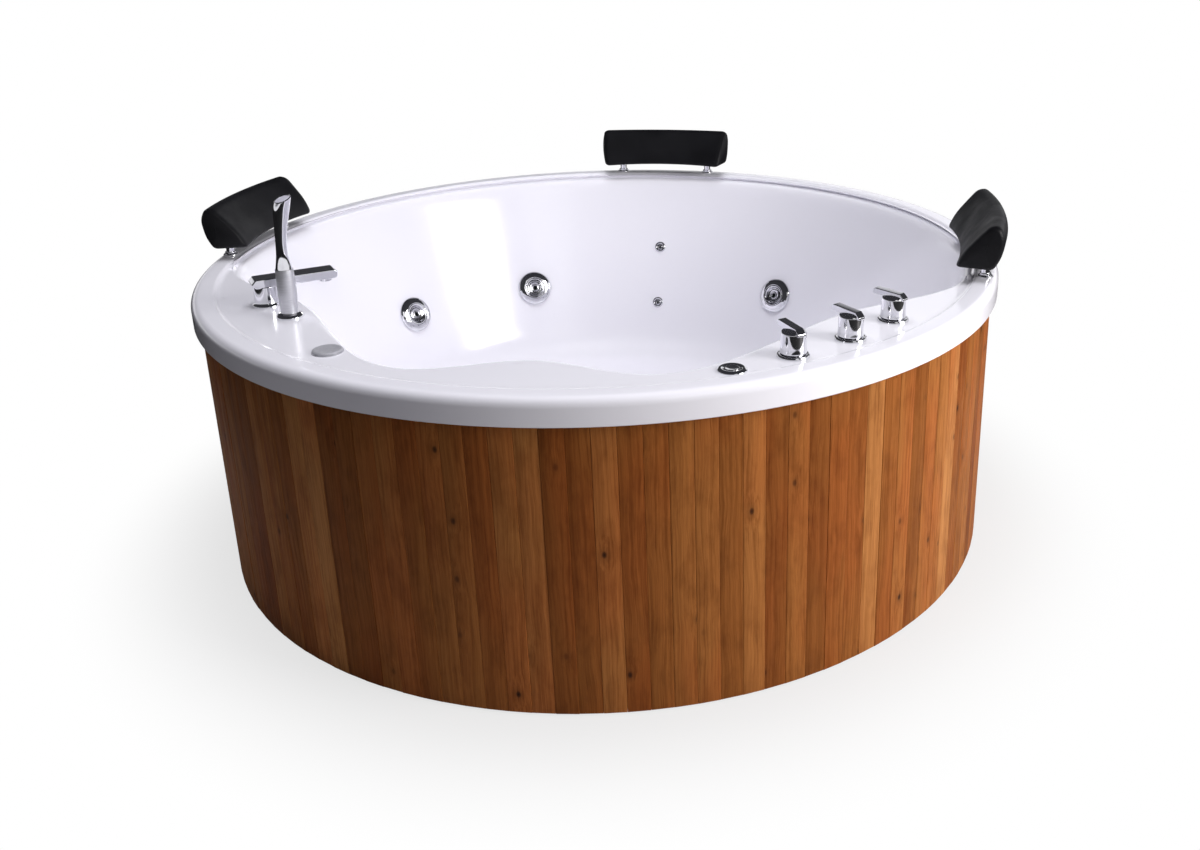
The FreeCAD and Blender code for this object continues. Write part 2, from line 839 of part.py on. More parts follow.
# Waste: flange let into the floor, click plug, and a bottle trap whose outlet turns down to the drain
keep(place(turned("drain_flange", [
    ("waste_tube - waste_wall", "-4 * wall"),
    ("waste_tube", "-4 * wall"),
    ("waste_tube", "-waste_sunk"),
    ("waste_radius", "-waste_sunk"),
    ("waste_radius", "-waste_crown / 2"),
    ("waste_radius - waste_slope", "waste_crown"),
    ("plug_radius + fit + waste_crown", "waste_crown"),
    ("plug_radius + fit", "-plug_sunk"),
    ("waste_tube - waste_wall", "-plug_sunk"),
]), "0", "0", "floor_height"))
keep(place(turned("drain_plug", [
    ("0", "-5 * wall"),
    ("spindle", "-5 * wall"),
    ("spindle", "fit - plug_sunk"),
    ("plug_radius - waste_crown / 2", "fit - plug_sunk"),
    ("plug_radius", "0"),
    ("plug_radius - plug_sunk", "0.6 * plug_crown"),
    ("plug_radius / 2", "0.9 * plug_crown"),
    ("0", "plug_crown"),
]), "0", "0", "floor_height"))
cup = turned("trap_cup", [
    ("waste_tube + fit", "floor_low - fit"),
    ("waste_tube + 2 * waste_wall", "floor_low - fit"),
    ("waste_tube + 2 * waste_wall", "arm_high"),
    ("cup_radius", "arm_high"),
    ("cup_radius", "2 * waste_wall"),
    ("cup_radius - waste_wall", "waste_wall"),
    ("0", "waste_wall"),
    ("0", "2 * waste_wall"),
    ("cup_radius - waste_wall", "2 * waste_wall"),
    ("cup_radius - waste_wall", "arm_high - waste_wall"),
    ("waste_tube + fit", "arm_high - waste_wall"),
])
TO_THE_LEFT = "rotation(180; 90; 0)"
outlet_run = rod("outlet_run", "outlet_pipe", "outlet_run - cup_radius + waste_wall",
                 "waste_wall - cup_radius", "0", "outlet_level", TO_THE_LEFT)
outlet_bend = place(ball("outlet_bend", "outlet_pipe"), "-outlet_run", "0", "outlet_level")
spigot = rod("outlet_spigot", "outlet_pipe", "outlet_level - outlet_foot", "-outlet_run", "0", "outlet_foot")
collar = rod("outlet_collar", "outlet_pipe + waste_wall / 2", "waste_wall", "-outlet_run", "0",
             "outlet_foot + spigot_long")
run_bore = rod("run_bore", "outlet_pipe - waste_wall", "outlet_run", "0", "0", "outlet_level", TO_THE_LEFT)
bend_bore = place(ball("bend_bore", "outlet_pipe - waste_wall"), "-outlet_run", "0", "outlet_level")
spigot_bore = rod("spigot_bore", "outlet_pipe - waste_wall", "outlet_level", "-outlet_run")
trap_bores = fused("trap_bores", [run_bore, bend_bore, spigot_bore])
keep(cut("waste_trap", fused("trap_outside", [cup, outlet_run, outlet_bend, spigot, collar]), trap_bores))

# Large jets: body through the wall, nut behind it, turning chrome ring and swivelling eyeball in front
NUT_FRONT = "-wall - fit"
NUT_BACK = "-wall - fit - nut_thick"
jet_bodies = []
jet_nuts = []
for label, angle in JETS.items():
    jet_bodies.append(on_wall(turned("jet_body_" + label, [
        ("jet_bore / 2", "-jet_depth"),
        ("jet_tube", "-jet_depth"),
        ("jet_tube", "0"),
        ("jet_flange", "0"),
        ("jet_flange", "jet_flange_thick"),
        ("jet_bore", "jet_flange_thick"),
        ("jet_bore", "jet_floor - jet_depth"),
        ("jet_bore / 2", "jet_floor - jet_depth"),
    ]), angle, "jet_height"))
    jet_nuts.append(on_wall(turned("jet_nut_" + label, [
        ("jet_tube + fit", NUT_BACK),
        ("jet_nut - nut_edge", NUT_BACK),
        ("jet_nut", NUT_FRONT),
        ("jet_tube + fit", NUT_FRONT),
    ]), angle, "jet_height"))
keep(group("jet_bodies", jet_bodies), group("jet_nuts", jet_nuts))
for label, angle in JETS.items():
    keep(on_wall(turned("jet_ring_" + label, [
        ("eye_radius + fit", "-ring_deep"),
        ("jet_bore - 2 * fit", "-ring_deep"),
        ("jet_bore - 2 * fit", "jet_flange_thick + fit"),
        ("jet_flange + fit", "jet_flange_thick + fit"),
        ("jet_flange + fit", "fit"),
        ("ring_radius", "fit"),
        ("ring_radius", "ring_height - ring_edge"),
        ("ring_radius - ring_edge", "ring_height"),
        ("ring_radius - ring_lip", "ring_height"),
        ("jet_bore + ring_edge", "ring_height - ring_dish"),
        ("eye_radius + fit", "ring_height - ring_dish"),
    ]), angle, "jet_height"))
    eye = place(ball("eye_ball_" + label, "eye_radius"), "0", "0", "-eye_sink")
    bind(eye, "Angle2", "asin((ring_height - eye_sink) / eye_radius)")
    eye_bore = rod("eye_bore_" + label, "eye_bore", "3 * eye_radius", "0", "0", "-1.5 * eye_radius")
    keep(on_wall(cut("jet_eyeball_" + label, eye, eye_bore), angle, "jet_height"))

# Small jets: one-piece nozzles under the back pillow, with their nuts
small_jets = []
small_nuts = []
for label in SMALL_JETS:
    small_jets.append(on_wall(turned("small_jet_" + label, [
        ("small_jet_bore", "-small_jet_depth"),
        ("small_jet_tube", "-small_jet_depth"),
        ("small_jet_tube", "0"),
        ("small_jet_flange", "0"),
        ("small_jet_flange", "small_jet_proud / 2"),
        ("small_jet_flange - small_jet_bore", "small_jet_proud"),
        ("2 * small_jet_bore", "small_jet_proud"),
        ("small_jet_bore", "small_jet_proud / 4"),
    ]), "seat_axis", "small_jet_" + label))
    small_nuts.append(on_wall(turned("small_nut_" + label, [
        ("small_jet_tube + fit", NUT_BACK),
        ("small_jet_flange", NUT_BACK),
        ("small_jet_flange", NUT_FRONT),
        ("small_jet_tube + fit", NUT_FRONT),
    ]), "seat_axis", "small_jet_" + label))
keep(group("small_jets", small_jets), group("small_jet_nuts", small_nuts))

# Suction fitting: closed cup through the wall with a drop to the pump, and its slotted cover
suction_cup = on_wall(turned("suction_cup", [
    ("0", "cup_end"),
    ("suction_tube", "cup_end"),
    ("suction_tube", "0"),
    ("suction_flange", "0"),
    ("suction_flange", "suction_flange_thick"),
    ("suction_tube - suction_wall", "suction_flange_thick"),
    ("suction_tube - suction_wall", "cup_end + suction_wall"),
    ("0", "cup_end + suction_wall"),
]), "suction_angle", "suction_height")
drop = rod("suction_fall", "suction_drop", "drop_height - union_height")
polar(drop, "pump_ring", "suction_angle", "union_height")
keep(fused("suction_body", [suction_cup, drop]))
keep(on_wall(turned("suction_nut", [
    ("suction_tube + fit", NUT_BACK),
    ("suction_flange - nut_edge", NUT_BACK),
    ("suction_flange", NUT_FRONT),
    ("suction_tube + fit", NUT_FRONT),
]), "suction_angle", "suction_height"))
cover = turned("grille_disc", [
    ("0", "suction_flange_thick + fit"),
    ("suction_flange", "suction_flange_thick + fit"),
    ("suction_flange", "grille_edge"),
    ("suction_flange - grille_edge", "grille_proud - ring_edge / 2"),
    ("0", "grille_proud"),
])
slots = padded("grille_slots", "XY", [
    ("slot_start", "-slot_half"),
    ("suction_tube - grille_edge", "-slot_half"),
    ("suction_tube - grille_edge", "slot_half"),
    ("slot_start", "slot_half"),
], "3 * wall")
repeated(slots, "slot_count", "360 - 360 / slot_count")
keep(on_wall(cut("suction_grille", cover, slots), "suction_angle", "suction_height"))

# Suction pipe: from the fitting's drop round to the pump's inlet
suction_end = rod("suction_end", "suction_drop", "union_height - pump_height")
polar(suction_end, "pump_ring", "suction_angle", "pump_height")
suction_knee = polar(ball("suction_knee", "suction_drop"), "pump_ring", "suction_angle", "pump_height")
suction_run = bent_pipe("suction_run", "pump_ring", "suction_drop", "pump_height", "pump_angle",
                        "suction_angle - pump_angle")
keep(fused("suction_pipe", [suction_run, suction_knee, suction_end]))

# Pump: wet end with its inlet and upward outlet, ribbed motor with terminal box, fan cover, cradle
wet_end = turned("wet_end", [
    ("0", "0"),
    ("1.5 * suction_drop", "0"),
    ("1.5 * suction_drop", "pump_collar"),
    ("pump_radius - pump_shoulder", "pump_collar"),
    ("pump_radius", "pump_collar + pump_shoulder"),
    ("pump_radius", "pump_long - pump_shoulder"),
    ("motor_radius", "pump_long"),
    ("0", "pump_long"),
])
outlet = rod("pump_outlet", "main_tube", "outlet_height - pump_height", "0", "0", "outlet_reach",
             "rotation(0; -90; 0)")
keep(on_pump(fused("pump_housing", [wet_end, outlet])))
core = turned("motor_core", [
    ("0", "motor_start"),
    ("motor_radius", "motor_start"),
    ("motor_radius", "motor_start + motor_bell"),
    ("motor_radius - rib_deep", "motor_start + motor_bell"),
    ("motor_radius - rib_deep", "motor_end - motor_bell"),
    ("motor_radius", "motor_end - motor_bell"),
    ("motor_radius", "motor_end"),
    ("0", "motor_end"),
])
ribs = padded("motor_ribs", "XY", [
    ("motor_radius - 2 * rib_deep", "-rib_half"),
    ("motor_radius", "-rib_half"),
    ("motor_radius", "rib_half"),
    ("motor_radius - 2 * rib_deep", "rib_half"),
], "motor_long - motor_bell")
repeated(ribs, "rib_count", "360 - 360 / rib_count")
place(ribs, "0", "0", "motor_start + motor_bell / 2")
terminals = block("terminal_box", "box_high", "box_wide", "box_long", "box_sunk - motor_radius - box_high",
                  "-box_wide / 2", "motor_start + (motor_long - box_long) / 2")
gland = rod("cable_gland", "gland_radius", "gland_long", "-motor_radius - gland_radius", "box_wide / 2",
            "motor_start + motor_long / 2", "rotation(0; 0; -90)")
keep(on_pump(fused("pump_motor", [core, ribs, terminals, gland])))
keep(on_pump(turned("motor_fan_cover", [
    ("0", "cover_start"),
    ("cover_radius", "cover_start"),
    ("cover_radius", "cover_end - cover_edge"),
    ("cover_radius - cover_edge", "cover_end"),
    ("0", "cover_end"),
])))
saddle = block("saddle", "pump_height - arm_high - motor_radius / 2", "saddle_wide", "saddle_long",
               "motor_radius / 2", "-saddle_wide / 2", "cradle_middle - saddle_long / 2")
saddle_seat = rod("saddle_seat", "motor_radius + fit", "pump_long + motor_long")
keep(on_pump(cut("pump_cradle", saddle, saddle_seat)))

# Water manifold: main pipe behind the seats, with a stub to each jet and a riser to the small ones
main = [bent_pipe("main_run", "main_ring", "main_tube", "main_height", "outlet_angle",
                  "360 + seat_axis + jet_spread_far - outlet_angle")]
main.append(spoke("main_inlet", "main_tube", "outlet_ring", "main_ring", "outlet_angle", "main_height"))
main_fall = rod("main_fall", "main_tube", "main_height - outlet_height")
main.append(polar(main_fall, "outlet_ring", "outlet_angle", "outlet_height"))
MAIN_CORNERS = {
    "main_knee": ("outlet_ring", "outlet_angle"),
    "main_bend": ("main_ring", "outlet_angle"),
    "main_end": ("main_ring", JETS["far_left"]),
}
for name, (ring, angle) in MAIN_CORNERS.items():
    main.append(polar(ball(name, "main_tube"), ring, angle, "main_height"))
for label, angle in JETS.items():
    stub = turned("main_stub_" + label, [
        ("0", "-main_depth"),
        ("jet_bore / 2", "-main_depth"),
        ("jet_bore / 2", "-jet_depth"),
        ("0", "-jet_depth"),
    ])
    main.append(on_wall(stub, angle, "jet_height"))
riser = rod("riser", "small_jet_tube", "riser_high - riser_low")
main.append(polar(riser, "main_ring", "seat_axis", "riser_low"))
for label in SMALL_JETS:
    stub = turned("riser_stub_" + label, [
        ("0", "-%s_depth" % label),
        ("small_jet_tube - riser_step", "-%s_depth" % label),
        ("small_jet_tube - riser_step", "-small_jet_depth"),
        ("0", "-small_jet_depth"),
    ])
    main.append(on_wall(stub, "seat_axis", "small_jet_" + label))
    riser_end = ball("riser_end_" + label, "small_jet_tube")
    main.append(polar(riser_end, "main_ring", "seat_axis", "riser_" + label))
keep(fused("water_manifold", main))

# Air pipe: from under the dial round behind the jets, with a stub to each
air = [bent_pipe("air_run", "air_ring", "air_tube", "air_height", JETS["far_right"],
                 "dial_angle - " + JETS["far_right"])]
air.append(spoke("air_branch", "air_tube", "air_ring", "dial_ring", "dial_angle", "air_height"))
air_riser = rod("air_riser", "air_tube", "dial_foot - fit - air_height")
air.append(polar(air_riser, "dial_ring", "dial_angle", "air_height"))
AIR_CORNERS = {
    "air_end": ("air_ring", JETS["far_right"]),
    "air_bend": ("air_ring", "dial_angle"),
    "air_knee": ("dial_ring", "dial_angle"),
}
for name, (ring, angle) in AIR_CORNERS.items():
    air.append(polar(ball(name, "air_tube"), ring, angle, "air_height"))
for label, angle in JETS.items():
    stub = padded("air_stub_" + label, "YZ", [
        ("-air_port_half", "-air_port_depth - air_port_half"),
        ("air_port_half", "-air_port_depth - air_port_half"),
        ("air_port_half", "air_port_half - air_port_depth"),
        ("-air_port_half", "air_port_half - air_port_depth"),
    ], "air_climb")
    jet_room = rod("air_gap_" + label, "jet_tube + fit", "4 * jet_depth", "0", "0", "-3 * jet_depth")
    air.append(on_wall(cut("air_port_" + label, stub, jet_room), angle, "jet_height"))
keep(fused("air_pipe", air))

# Valves: a brass manifold under the deck, flanges on it and turning levers
valve_parts = [bent_pipe("valve_link", "valve_ring - valve_drift", "inlet_radius", "link_height",
                         "valve_angle", "2 * valve_step")]
valve_flanges = []
for label, (ring, angle) in VALVES.items():
    valve_parts.append(on_deck(turned("valve_body_" + label, [
        ("spindle + fit", "-3 * wall"),
        ("spindle + fit", "0"),
        ("valve_neck", "0"),
        ("valve_neck", NUT_FRONT),
        ("valve_body", NUT_FRONT),
        ("valve_body", "-valve_deep"),
        ("0", "-valve_deep"),
        ("0", "-3 * wall"),
    ]), ring, angle))
    valve_flanges.append(on_deck(turned("valve_flange_" + label, [
        ("spindle + fit", "0"),
        ("valve_flange", "0"),
        ("valve_flange", "flange_thick - flange_bevel"),
        ("valve_flange - flange_bevel", "flange_thick"),
        ("spindle + fit", "flange_thick"),
    ]), ring, angle))
for label in ("hot", "cold"):
    ring, angle = VALVES[label]
    inlet = rod("inlet_" + label, "inlet_radius", "link_height - inlet_foot")
    valve_parts.append(polar(inlet, ring, angle, "inlet_foot"))
    shoulder = rod("inlet_shoulder_" + label, "inlet_collar", "link_height - inlet_foot - inlet_long")
    valve_parts.append(polar(shoulder, ring, angle, "inlet_foot + inlet_long"))
keep(fused("valve_manifold", valve_parts), group("valve_flanges", valve_flanges))
for label, (ring, angle) in VALVES.items():
    knob = turned("knob_" + label, [
        ("0", "-2.5 * wall"),
        ("spindle", "-2.5 * wall"),
        ("spindle", "flange_thick + fit"),
        ("knob_radius - knob_edge", "flange_thick + fit"),
        ("knob_radius", "flange_thick + 4 * knob_edge"),
        ("knob_radius - knob_taper", "knob_high"),
        ("0", "knob_high"),
    ])
    bar = padded("lever_bar_" + label, "XZ", [
        ("-lever_back", "knob_high - lever_sunk"),
        ("lever_reach", "knob_high + lever_climb"),
        ("lever_reach", "lever_high"),
        ("lever_reach - lever_bevel", "lever_high + lever_bevel"),
        ("2 * lever_bevel - knob_radius", "lever_high"),
        ("-lever_back", "knob_high"),
    ], "lever_wide", True)
    keep(on_deck(fused("lever_" + label, [knob, bar]), ring, angle))

# Spout and the pipe that feeds it from the first valve
feed = [bent_pipe("feed_run", "feed_ring", "feed_tube", "feed_height", "spout_angle",
                  "valve_angle - spout_angle")]
feed.append(spoke("feed_in", "feed_tube", "(valve_ring + valve_body + fit)", "feed_ring", "valve_angle",
                  "feed_height"))
feed.append(spoke("feed_out", "feed_tube", "(spout_ring + spout_shank + fit)", "feed_ring", "spout_angle",
                  "feed_height"))
for name, angle in (("feed_start", "valve_angle"), ("feed_end", "spout_angle")):
    feed.append(polar(ball(name, "feed_tube"), "feed_ring", angle, "feed_height"))
keep(fused("spout_feed", feed))
spout_stem = turned("spout_stem", [
    ("0", "-spout_deep"),
    ("spout_shank", "-spout_deep"),
    ("spout_shank", "0"),
    ("spout_foot", "0"),
    ("spout_foot", "flange_thick - flange_bevel"),
    ("spout_base", "flange_thick"),
    ("spout_base - spout_taper", "spout_low"),
    ("0", "spout_low"),
])
spout_bar = padded("spout_bar", "XZ", [
    ("-spout_base - bar_edge", "bar_low + bar_thick / 2"),
    ("bar_edge - spout_base", "bar_low"),
    ("spout_reach - bar_edge", "bar_low"),
    ("spout_reach", "bar_low + bar_edge"),
    ("spout_reach", "bar_high - bar_edge"),
    ("spout_reach - bar_edge", "bar_high"),
    ("bar_edge - spout_base", "bar_high"),
], "spout_wide", True)
keep(on_deck(fused("spout", [spout_stem, spout_bar]), "spout_ring", "spout_angle"))
keep(on_deck(turned("aerator", [
    ("aerator_bore", "bar_low - aerator_long"),
    ("aerator_radius", "bar_low - aerator_long"),
    ("aerator_radius", "bar_low"),
    ("0", "bar_low"),
    ("0", "bar_low - aerator_cup"),
    ("aerator_bore", "bar_low - aerator_cup"),
]), "(spout_ring - spout_reach + aerator_back)", "spout_angle"))

# Hand shower: a sleeve that stands on the deck and the wand that lifts out of it
keep(on_deck(turned("shower_holder", [
    ("0", "-shower_deep"),
    ("shower_shank", "-shower_deep"),
    ("shower_shank", "0"),
    ("sleeve_foot", "0"),
    ("sleeve_foot", "flange_thick - flange_bevel"),
    ("sleeve_foot - 2 * flange_bevel", "flange_thick + flange_bevel"),
    ("sleeve_waist", "flange_thick + 2 * flange_bevel"),
    ("sleeve_belly", "sleeve_high / 2"),
    ("sleeve_mouth", "sleeve_high"),
    ("wand_spigot + fit", "sleeve_high"),
    ("wand_spigot + fit", "wand_foot - fit"),
    ("0", "wand_foot - fit"),
]), "shower_ring", "shower_angle"))
sections = []
for label in WAND:
    oval = doc.addObject("Part::Ellipse", "wand_" + label)
    bind(oval, "MajorRadius", "wand_%s_wide" % label)
    bind(oval, "MinorRadius", "wand_%s_deep" % label)
    tilt = "rotation(90; 0; 0) * rotation(0; 0; wand_%s_tilt)" % label
    sections.append(place(oval, "wand_%s_lean" % label, "0", "sleeve_high + wand_%s_rise" % label, tilt))
grip = made_of("Part::Loft", "wand_loft", Sections=sections, Solid=True)
wand_stem = rod("wand_stem", "wand_spigot", "sleeve_high + wand_neck_rise / 2 - wand_foot",
                "0", "0", "wand_foot")
keep(on_deck(fused("shower_wand", [grip, wand_stem]), "shower_ring", "shower_angle"))

# Push button with its bezel, and the air dial on its base
keep(on_deck(turned("button_bezel", [
    ("cap_radius + fit", "-button_deep"),
    ("button_shank", "-button_deep"),
    ("button_shank", "0"),
    ("bezel_radius", "0"),
    ("bezel_radius", "bezel_edge"),
    ("bezel_radius - bezel_slope", "bezel_crown"),
    ("cap_radius + fit", "bezel_crown - bezel_edge / 2"),
]), "button_ring", "button_angle"))
keep(on_deck(turned("button_cap", [
    ("0", "cap_lift - button_deep"),
    ("cap_radius", "cap_lift - button_deep"),
    ("cap_radius", "cap_crown - cap_edge"),
    ("cap_radius - cap_edge", "cap_crown"),
    ("cap_radius / 2", "cap_crown - cap_dish"),
    ("0", "cap_crown - 1.25 * cap_dish"),
]), "button_ring", "button_angle"))
keep(on_deck(turned("dial_base", [
    ("0", "-dial_deep"),
    ("dial_shank", "-dial_deep"),
    ("dial_shank", "0"),
    ("dial_radius + dial_edge", "0"),
    ("dial_radius + dial_edge", "dial_plate"),
    ("spindle + fit", "dial_plate"),
    ("spindle + fit", "-2.5 * wall - fit"),
    ("0", "-2.5 * wall - fit"),
]), "dial_ring", "dial_angle"))
keep(on_deck(turned("air_dial", [
    ("0", "-2.5 * wall"),
    ("spindle", "-2.5 * wall"),
    ("spindle", "dial_plate + fit"),
    ("dial_radius", "dial_plate + fit"),
    ("dial_radius", "dial_crown - dial_dish"),
    ("dial_radius - dial_bevel", "dial_crown"),
    ("dial_radius / 2", "dial_crown - 0.75 * dial_dish"),
    ("0", "dial_crown - dial_dish"),
]), "dial_ring", "dial_angle"))

# Nuts under the deck that hold the fixtures
deck_nuts = []
for label, (shank, ring, angle) in DECK_HOLES.items():
    if label not in VALVES:
        deck_nuts.append(on_deck(turned(label + "_nut", [
            (shank + " + fit", NUT_BACK),
            (shank + " + nut_wide", NUT_BACK),
            (shank + " + nut_wide", NUT_FRONT),
            (shank + " + fit", NUT_FRONT),
        ]), ring, angle))
keep(group("deck_nuts", deck_nuts))

# Head pillows: moulded foam pads bent to the rim, each on two posts that stand in sockets in the bead
sockets = []
for label, (seat, angle) in POSTS.items():
    sockets.append(polar(turned("socket_" + label, [
        ("post_radius + 2 * fit", "-socket_deep"),
        ("socket_radius", "-socket_deep"),
        ("socket_radius", "0"),
        ("socket_radius + socket_lip", "0"),
        ("socket_radius + socket_lip", "socket_proud - socket_edge"),
        ("socket_radius + socket_lip - socket_edge", "socket_proud"),
        ("post_radius + 2 * fit", "socket_proud"),
    ]), "post_ring", angle, "rim_top"))
keep(group("pillow_sockets", sockets))
for seat, axis in SEATS.items():
    posts = []
    pins = []
    for label, (owner, angle) in POSTS.items():
        if owner == seat:
            posts.append(polar(turned("post_" + label, [
                ("0", "-socket_deep"),
                ("post_radius", "-socket_deep"),
                ("post_radius", "stop_low"),
                ("post_radius + stop_wide", "stop_low"),
                ("post_radius + stop_wide", "stop_low + stop_thick"),
                ("post_radius", "stop_low + stop_thick"),
                ("post_radius", "post_high"),
                ("0", "post_high"),
            ]), "post_ring", angle, "rim_top"))
            pin = rod("pad_hole_" + label, "post_radius + fit", "post_high + fit")
            pins.append(polar(pin, "post_ring", angle, "rim_top"))
    keep(group("pillow_posts_" + seat, posts))
    pad = turned("pad_" + seat, [
        ("post_ring + pad_%s_out" % label, "pillow_low + pad_%s_up" % label) for label in PAD
    ], "2 * pillow_half")
    pad.Tip.Midplane = True
    rounded(pad, "pillow_round", lambda edge: True)
    place(pad, "0", "0", "0", "rotation(%s; 0; 0)" % axis)
    keep(cut("pillow_" + seat, pad, fused("pad_holes_" + seat, pins)))

doc.recompute()
failed = [thing.Name for thing in doc.Objects if {"Invalid", "Error"} & set(thing.State)]
if failed:
    raise SystemExit("failed: " + ", ".join(failed))
for node in nodes:
    if node.Shape.isNull() or not node.Shape.isValid() or not node.Shape.Solids:
        raise SystemExit("bad shape: " + node.Label)
os.makedirs("parts", exist_ok=True)
for node in nodes:
    node.Shape.exportStep("parts/%s.step" % node.Label)
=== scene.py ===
import math

import bmesh
import bpy
import numpy as np
from mathutils import Matrix, Vector


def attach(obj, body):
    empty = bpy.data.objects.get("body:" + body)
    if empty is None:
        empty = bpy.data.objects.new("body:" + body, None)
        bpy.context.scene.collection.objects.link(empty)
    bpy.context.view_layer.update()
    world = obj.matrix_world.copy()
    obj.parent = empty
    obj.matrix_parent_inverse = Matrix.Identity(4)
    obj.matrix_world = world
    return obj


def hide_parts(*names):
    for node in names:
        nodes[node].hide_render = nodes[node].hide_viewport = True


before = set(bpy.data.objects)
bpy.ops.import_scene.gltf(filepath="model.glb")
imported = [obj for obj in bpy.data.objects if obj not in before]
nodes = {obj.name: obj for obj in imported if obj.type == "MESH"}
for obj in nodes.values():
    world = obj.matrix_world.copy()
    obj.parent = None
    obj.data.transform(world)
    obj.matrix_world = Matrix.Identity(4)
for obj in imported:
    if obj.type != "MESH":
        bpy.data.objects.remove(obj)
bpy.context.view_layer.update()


# Tub shell: one sheet of white acrylic, heated and drawn over a mould, then backed with resin.
# A tilted deck runs round a basin with two side decks and a front lobe, and the rim rolls over to a lip.
RIM_RADIUS = 0.800
RIM_TOP = 0.560
RIM_ROUND = 0.016
LIP_FOOT = 0.514
LIP_EASE = 0.0015
SHEET = 0.008
BEAD_RADIUS = 0.752
BEAD_ROUND = 0.010
BEAD_FILLET = 0.006
DECK_MID = 0.552
DECK_SLOPE = 0.012 / (2 * BEAD_RADIUS)
MOUTH_RADIUS = 0.735
MOUTH_HEIGHT = 0.550
MOUTH_ROUND = 0.016
FLOOR_RADIUS = 0.560
FLOOR_HEIGHT = 0.115
FLOOR_ROUND = 0.100
WALL_FALL = (MOUTH_RADIUS - FLOOR_RADIUS) / (MOUTH_HEIGHT - FLOOR_HEIGHT)
DECK_REACH = 0.134
DECK_CENTRE = 52
DECK_REAR_HALF = 26
DECK_FRONT_HALF = 43
LOBE_REACH = 0.124
LOBE_HALF = 20
LOBE_SHARE = 0.35
SEAT_AXIS = 87
JET_SPREAD = {"far_left": 61, "near_left": 30, "near_right": -30, "far_right": -61}
JET_HEIGHT = 0.292
SMALL_JET_HEIGHTS = (0.243, 0.379)
SUCTION_ANGLE = 354
SUCTION_HEIGHT = 0.240
POST_RING = 0.776
POST_HALF = 8.4
SEATS = {"left": SEAT_AXIS + 90, "back": SEAT_AXIS, "right": SEAT_AXIS - 90}
VALVES = {"hot": (0.718, 304.7), "cold": (0.710, 314.8), "diverter": (0.702, 324.9)}
SPOUT_SPOT = (0.672, 214.5)
SHOWER_SPOT = (0.656, 222.7)
DIAL_SPOT = (0.707, 240.9)
BUTTON_SPOT = (0.731, 295.7)
# Radius of each hole, then of the flat seat in front of it and the depth that seat is sunk.
JET_HOLE = (0.0294, 0.045)
SMALL_JET_HOLE = (0.0094, 0.015)
SUCTION_HOLE = (0.0244, 0.037)
WASTE_HOLE = (0.0224, 0.0364, 0.003)
DECK_HOLES = {SPOUT_SPOT: 0.0124, SHOWER_SPOT: 0.0144, DIAL_SPOT: 0.0114, BUTTON_SPOT: 0.0159}
VALVE_HOLE = 0.0144
POST_HOLE = 0.012
# How finely the skin is divided, from the lip over the rim to the middle of the floor.
NET_COLUMNS = 48
SHELL_COLUMNS = 360
LIP_STEPS = (0.006, 0.018)
RIM_ROWS = 11
BEAD_ROWS = 10
FILLET_ROWS = 7
DECK_ROWS = 13
WALL_ROWS = 72
FLOOR_ROWS = 16
FLOOR_EYE = 0.04
SHELL_CREASE = 32


def stood_at(ring, turn, height):
    """The place at a ring and a turn about the tub's axis."""
    return Matrix.Translation((ring * math.cos(turn), ring * math.sin(turn), height))


def on_deck(ring, angle):
    """A place on the tilted deck, with X towards the middle of the tub."""
    turn = math.radians(angle)
    tilt = Matrix.Rotation(-math.atan(DECK_SLOPE), 4, "X")
    stand = stood_at(ring, turn, DECK_MID - DECK_SLOPE * ring * math.sin(turn))
    return stand @ tilt @ Matrix.Rotation(turn + math.pi, 4, "Z")


def on_wall(angle, height):
    """A place on the basin wall, with Z into the basin and X up the wall."""
    turn = math.radians(angle)
    lean = Matrix.Rotation(math.atan(WALL_FALL) - math.pi / 2, 4, "Y")
    stand = stood_at(FLOOR_RADIUS + WALL_FALL * (height - FLOOR_HEIGHT), turn, height)
    return stand @ Matrix.Rotation(turn, 4, "Z") @ lean


def on_rim(ring, angle):
    """A place on the flat top of the rim."""
    turn = math.radians(angle)
    return stood_at(ring, turn, RIM_TOP) @ Matrix.Rotation(turn, 4, "Z")


def post_places(seat):
    """The two places on the rim where a seat's pillow posts stand."""
    return [on_rim(POST_RING, seat + side * POST_HALF) for side in (-1, 1)]


def draw_in(angle):
    """How far the mouth is drawn in at an angle, in degrees."""
    from_front = (angle - 90) % 360 - 180
    drawn = 0.0
    for side in (-1, 1):
        off = side * from_front - DECK_CENTRE
        share = off / (DECK_REAR_HALF if off > 0 else DECK_FRONT_HALF)
        if abs(share) < 1:
            drawn += DECK_REACH * (1 - share ** 2) ** 2
    if abs(from_front) < LOBE_HALF:
        drawn += LOBE_REACH * math.cos(math.pi / 2 * from_front / LOBE_HALF) ** 2
    return drawn


def wall_ring(angle, z):
    """The basin wall's distance from the axis."""
    rise = (z - FLOOR_HEIGHT) / (MOUTH_HEIGHT - FLOOR_HEIGHT)
    share = LOBE_SHARE + (1 - LOBE_SHARE) * rise
    return FLOOR_RADIUS + (MOUTH_RADIUS - FLOOR_RADIUS) * rise - share * draw_in(angle)


